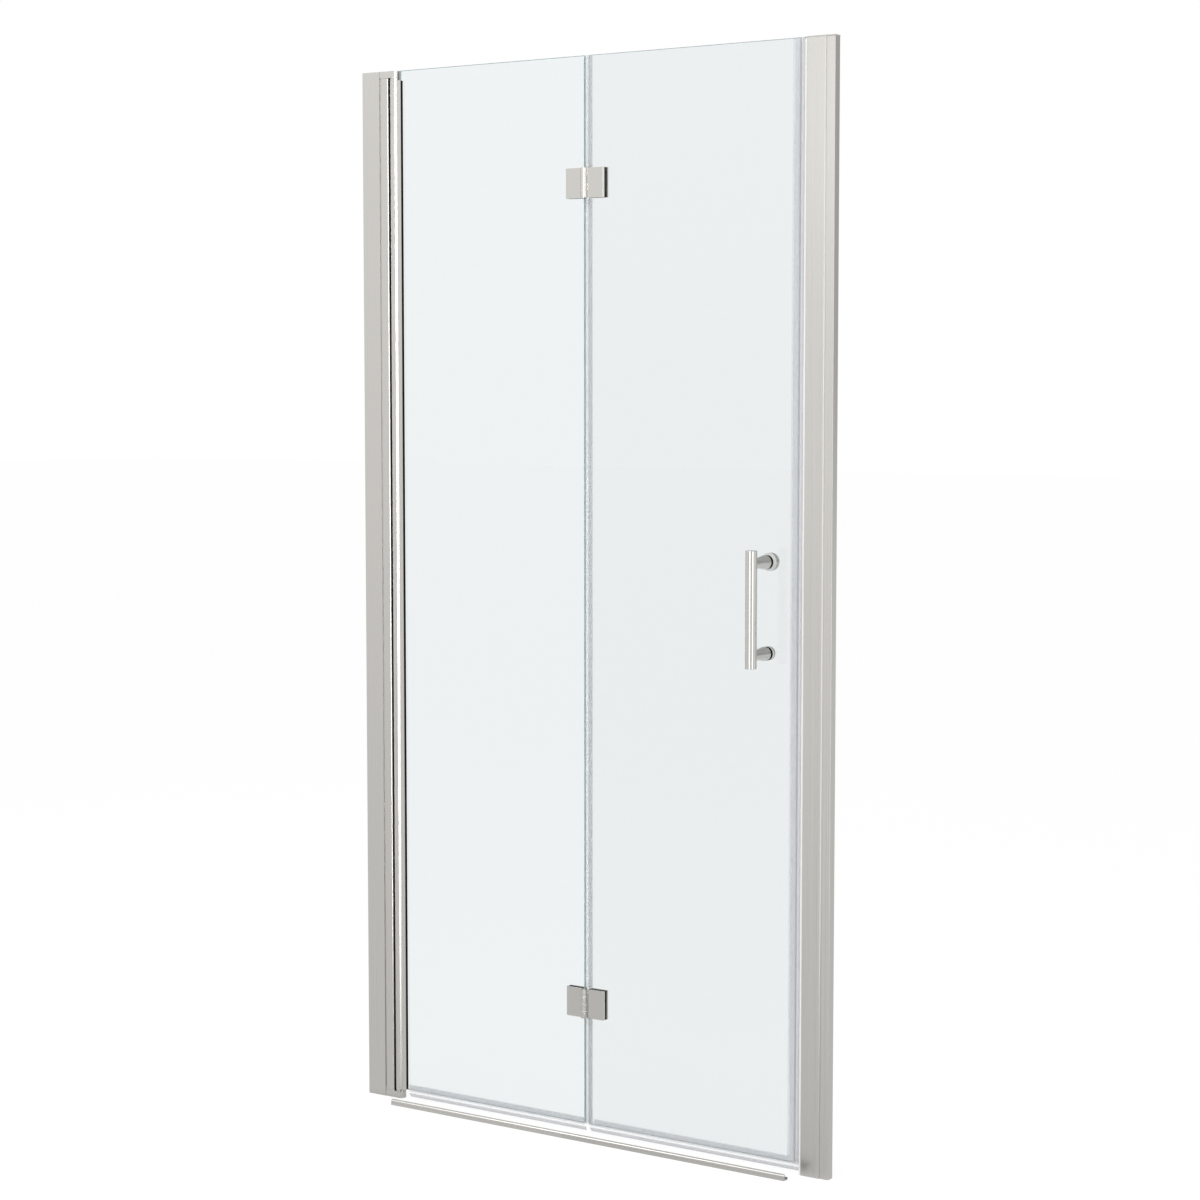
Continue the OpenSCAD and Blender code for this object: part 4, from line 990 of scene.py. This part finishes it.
# %% Hinge leaf
HINGE_H, KNUCKLE_R, BORE_R, WASHER_T = 50 * MM, 6 * MM, 2.6 * MM, 0.6 * MM
KNUCKLE_H = (HINGE_H - 3 * WASHER_T) / 4
pins = sides("hinge_pins")
PIN_X, PIN_Y = (pins[0] + pins[1]) / 2, (pins[2] + pins[3]) / 2
LOWER_Z = (hinge_low[4] + hinge_low[5]) / 2
HINGE_PITCH = hinge_high[4] - hinge_low[4]
PLATE_FRONT, PLATE_BACK = PIN_Y + 1 * MM, PIN_Y + 6 * MM
PLATE_ROOT, PLATE_END = 6.8 * MM, 38.5 * MM


def hinge_leaf(name, side, knuckles):
    """The lower hinge's leaf: side is 1 on the folding pane and -1 on the other."""
    low = LOWER_Z - HINGE_H / 2

    def beside(x, y):
        return PIN_X + side * x, y

    corners = rectangle(PLATE_ROOT, PLATE_END, PLATE_FRONT, PLATE_BACK)
    plate = stand(name, [beside(x, y) for x, y in corners], low, low + HINGE_H)
    round_edges(plate, Z, [beside(PLATE_END, PLATE_FRONT)], 1.4 * MM, segments=1)
    neck_angle = math.degrees(math.asin((PLATE_FRONT - PIN_Y) / KNUCKLE_R))
    around = arc((0, PIN_Y), KNUCKLE_R, 90, 360 + neck_angle, 44)
    around += [(PLATE_ROOT + MM, PLATE_FRONT), (PLATE_ROOT + MM, PLATE_BACK)]
    for knuckle in knuckles:
        foot = low + knuckle * (KNUCKLE_H + WASHER_T)
        ring = stand("knuckle", [beside(x, y) for x, y in around], foot, foot + KNUCKLE_H)
        combine(plate, ring, "UNION")
    bore = rod("bore", (PIN_X, PIN_Y, low - MM), UP, HINGE_H + 2 * MM, BORE_R, steps=40)
    combine(plate, bore, "DIFFERENCE")
    return soften(plate, 0.25 * MM)


for side, word, knuckles in ((-1, "pivot", (0, 2)), (1, "fold", (1, 3))):
    leaf = hinge_leaf(f"lower_{word}_hinge_leaf", side, knuckles)
    upper = copy_up(leaf, f"upper_{word}_hinge_leaf", HINGE_PITCH)
    dress(leaf, nickel_bar, f"lower_hinge_{word}_leaf")
    dress(upper, nickel_bar, f"upper_hinge_{word}_leaf")

# %% [markdown]
# Pins and washers are spun. A pin's end is slightly domed and sits just below the top knuckle's rim. The
# white washers show as hairlines between the knuckles.

# %% Pins and washers
pin_l, pin_r, dome_r, dome = 49 * MM, 2.5 * MM, 1.6 * MM, 0.5 * MM
profile = [(0, 0), (dome * 0.3, dome_r), (dome, pin_r), (pin_l - dome, pin_r), (pin_l - dome * 0.3, dome_r),
           (pin_l, 0)]
pin = turn("pin_low", (PIN_X, PIN_Y, LOWER_Z - pin_l / 2), UP, profile, steps=40)
soften(pin, 0)
dress(join([pin, copy_up(pin, "pin_high", HINGE_PITCH)], "pins"), steel, "hinge_pins")

washers = []
for i in (1, 2, 3):
    under = LOWER_Z - HINGE_H / 2 + i * (KNUCKLE_H + WASHER_T) - WASHER_T
    washer = flat_ring("washer", (PIN_X, PIN_Y, under), UP, WASHER_T, BORE_R, 5.6 * MM, steps=48)
    washers += [soften(washer, 0), copy_up(washer, "washer_high", HINGE_PITCH)]
dress(join(washers, "washers"), nylon, "hinge_washers")

# %% [markdown]
# Behind the glass, a clamp plate takes two countersunk screws with a hexagon socket. The plate is drawn as
# a rectangle and softened. Its two holes are cut with the screw's own cone, a hair larger.

# %% Clamp plates and their screws
CLAMP_ROOT, SCREW_X, SCREW_DZ = 5.9 * MM, 23 * MM, 13 * MM
HOLE_CLEARANCE = 0.15 * MM
_, _, CLAMP_Y0, CLAMP_Y1, CLAMP_Z0, CLAMP_Z1 = sides("lower_hinge_fold_clamp")


def cone(name, x, z, clearance):
    """A countersunk head in the clamp plate, seen from inside the shower."""
    front, back = CLAMP_Y0 - clearance, CLAMP_Y1 + (0.01 * MM if clearance else 0)
    wide, narrow = 5.5 * MM + clearance, 3 * MM + clearance
    knee = CLAMP_Y1 - 2.5 * MM - front
    return turn(name, (x, front, z), INWARDS,
                [(0, 0), (0, narrow), (knee, narrow), (back - front, wide), (back - front, 0)], steps=48)


def hexagon_socket(x, y, z, radius):
    """The hollow that a hexagon key needs in a screw, open to the inside of the shower."""
    corners = [(a, y, b) for a, b in arc((x, z), radius, 0, 300, 5)]
    return run("socket", corners, (0, 4 * MM, 0))


def clamp_and_screws(side, word):
    """The lower hinge's clamp plate on one side, and its two screws."""
    left, right = sorted((PIN_X + side * CLAMP_ROOT, PIN_X + side * PLATE_END))
    outline = rectangle(left, right, CLAMP_Y0, CLAMP_Y1)
    plate = stand(f"lower_{word}_clamp_plate", outline, CLAMP_Z0, CLAMP_Z1)
    soften(plate, 0.6 * MM)
    screws = []
    x = PIN_X + side * SCREW_X
    for z in (LOWER_Z - SCREW_DZ, LOWER_Z + SCREW_DZ):
        combine(plate, cone("countersink", x, z, HOLE_CLEARANCE), "DIFFERENCE")
        screw = cone("clamp_screw", x, z, 0)
        socket = hexagon_socket(x, CLAMP_Y1 - 2 * MM, z, 2.3 * MM)
        screws.append(soften(combine(screw, socket, "DIFFERENCE"), 0.12 * MM))
    smooth(plate)
    return plate, screws


for side, word in ((-1, "pivot"), (1, "fold")):
    plate, screws = clamp_and_screws(side, word)
    upper = copy_up(plate, f"upper_{word}_clamp_plate", HINGE_PITCH)
    dress(plate, nickel_turned, f"lower_hinge_{word}_clamp")
    dress(upper, nickel_turned, f"upper_hinge_{word}_clamp")
    screws += [copy_up(screw, "clamp_screw_high", HINGE_PITCH) for screw in screws]
    dress(join(screws, f"{word}_clamp_screws"), steel, f"{word}_hinge_screws")

# %% [markdown]
# ## The handle
#
# The pull is a round bar that two flared posts hold off the glass. All of it is turned work: the outline of
# half the section is drawn once and spun. Inside the shower, the upper post ends in a round knob, and the
# lower one in a flat screw cap.

# %% Handle bar
x0, x1, y0, y1, z0, z1 = sides("handle_bar")
HANDLE_X, BAR_Y, BAR_R = (x0 + x1) / 2, (y0 + y1) / 2, (x1 - x0) / 2
bar = rod("pull_bar", (HANDLE_X, BAR_Y, z0), UP, z1 - z0, BAR_R, steps=96)
dress(soften(bar, 0.8 * MM), nickel_bar, "handle_bar")

# %% Handle posts
FOOT_Y = sides("lower_handle_post")[3]
LOW_FIX, HIGH_FIX = (sum(sides(node)[4:]) / 2 for node in ("lower_handle_post", "upper_handle_post"))
FIX_PITCH = HIGH_FIX - LOW_FIX
NECK_R, FOOT_R = 8.9 * MM, 11.4 * MM
reach = FOOT_Y - BAR_Y
profile = [(0, 0), (0, NECK_R), (24 * MM, NECK_R), (reach - 4.5 * MM, FOOT_R), (reach, FOOT_R), (reach, 0)]
lower_post = turn("lower_post", (HANDLE_X, BAR_Y, LOW_FIX), INWARDS, profile, steps=80)
saddle = rod("saddle", (HANDLE_X, BAR_Y, LOW_FIX - 20 * MM), UP, 40 * MM, BAR_R, steps=96)
soften(combine(lower_post, saddle, "DIFFERENCE"), 0.35 * MM)
upper_post = copy_up(lower_post, "upper_post", FIX_PITCH)
dress(lower_post, nickel_turned, "lower_handle_post")
dress(upper_post, nickel_turned, "upper_handle_post")

# %% [markdown]
# Between metal and glass there is always something soft. A handle post stands on a black rubber foot as
# wide as itself. The ring behind the glass is clear, because a black one would show through the pane, and
# it glows a little with painted light, in place of the light that the foot shades from it.

# %% Rings at the glass
STUD_CLEARANCE_R, REAR_RING_T = 3.05 * MM, 1 * MM


def ring(name, y, z, height, radius):
    """A flat ring round the stud."""
    around = flat_ring(name, (HANDLE_X, y, z), INWARDS, height, STUD_CLEARANCE_R, radius, steps=64)
    return soften(around, 0.2 * MM)


low = ring("rubber_foot", FOOT_Y, LOW_FIX, GLASS_Y0 - FOOT_Y, FOOT_R)
high = copy_up(low, "rubber_foot_high", FIX_PITCH)
dress(join([low, high], "rubber_feet"), rubber, "handle_feet")
low = ring("rear_ring", GLASS_Y1, LOW_FIX, REAR_RING_T, 10.9 * MM)
high = ring("rear_ring_high", GLASS_Y1, HIGH_FIX, REAR_RING_T, 14.55 * MM)
# Painted light: these rings glow a little, in place of the light that the feet shade from them.
dress(join([low, high], "rear_rings"), glowing_pvc_painted_light, "inner_gaskets")

# %% [markdown]
# The knob is a disc with a small chamfer at the glass and a rounded rim. The cap has a hexagon socket.

# %% Knob and screw cap inside
x0, x1, y0, y1, z0, z1 = sides("inner_knob")
r, h = (x1 - x0) / 2, y1 - y0
profile = [(0, 0), (0, r - 0.6 * MM), (0.6 * MM, r), (h - 1.6 * MM, r), (h - 0.5 * MM, r - 0.5 * MM),
           (h, r - 1.7 * MM), (h, 0)]
knob = turn("knob", (HANDLE_X, y0, HIGH_FIX), INWARDS, profile, steps=96)
dress(soften(knob, 0.2 * MM), nickel_turned, "inner_knob")

x0, x1, y0, y1, z0, z1 = sides("inner_cap_screw")
r, h = (x1 - x0) / 2, y1 - (GLASS_Y1 + REAR_RING_T)
profile = [(0, 0), (0, r), (h - 1.0 * MM, r), (h - 0.3 * MM, r - 0.3 * MM), (h, r - 1.2 * MM), (h, 0)]
cap = turn("screw_cap", (HANDLE_X, y1 - h, LOW_FIX), INWARDS, profile, steps=80)
combine(cap, hexagon_socket(HANDLE_X, y1 - 2.5 * MM, LOW_FIX, 2.9 * MM), "DIFFERENCE")
dress(soften(cap, 0.15 * MM), nickel_turned, "inner_cap_screw")
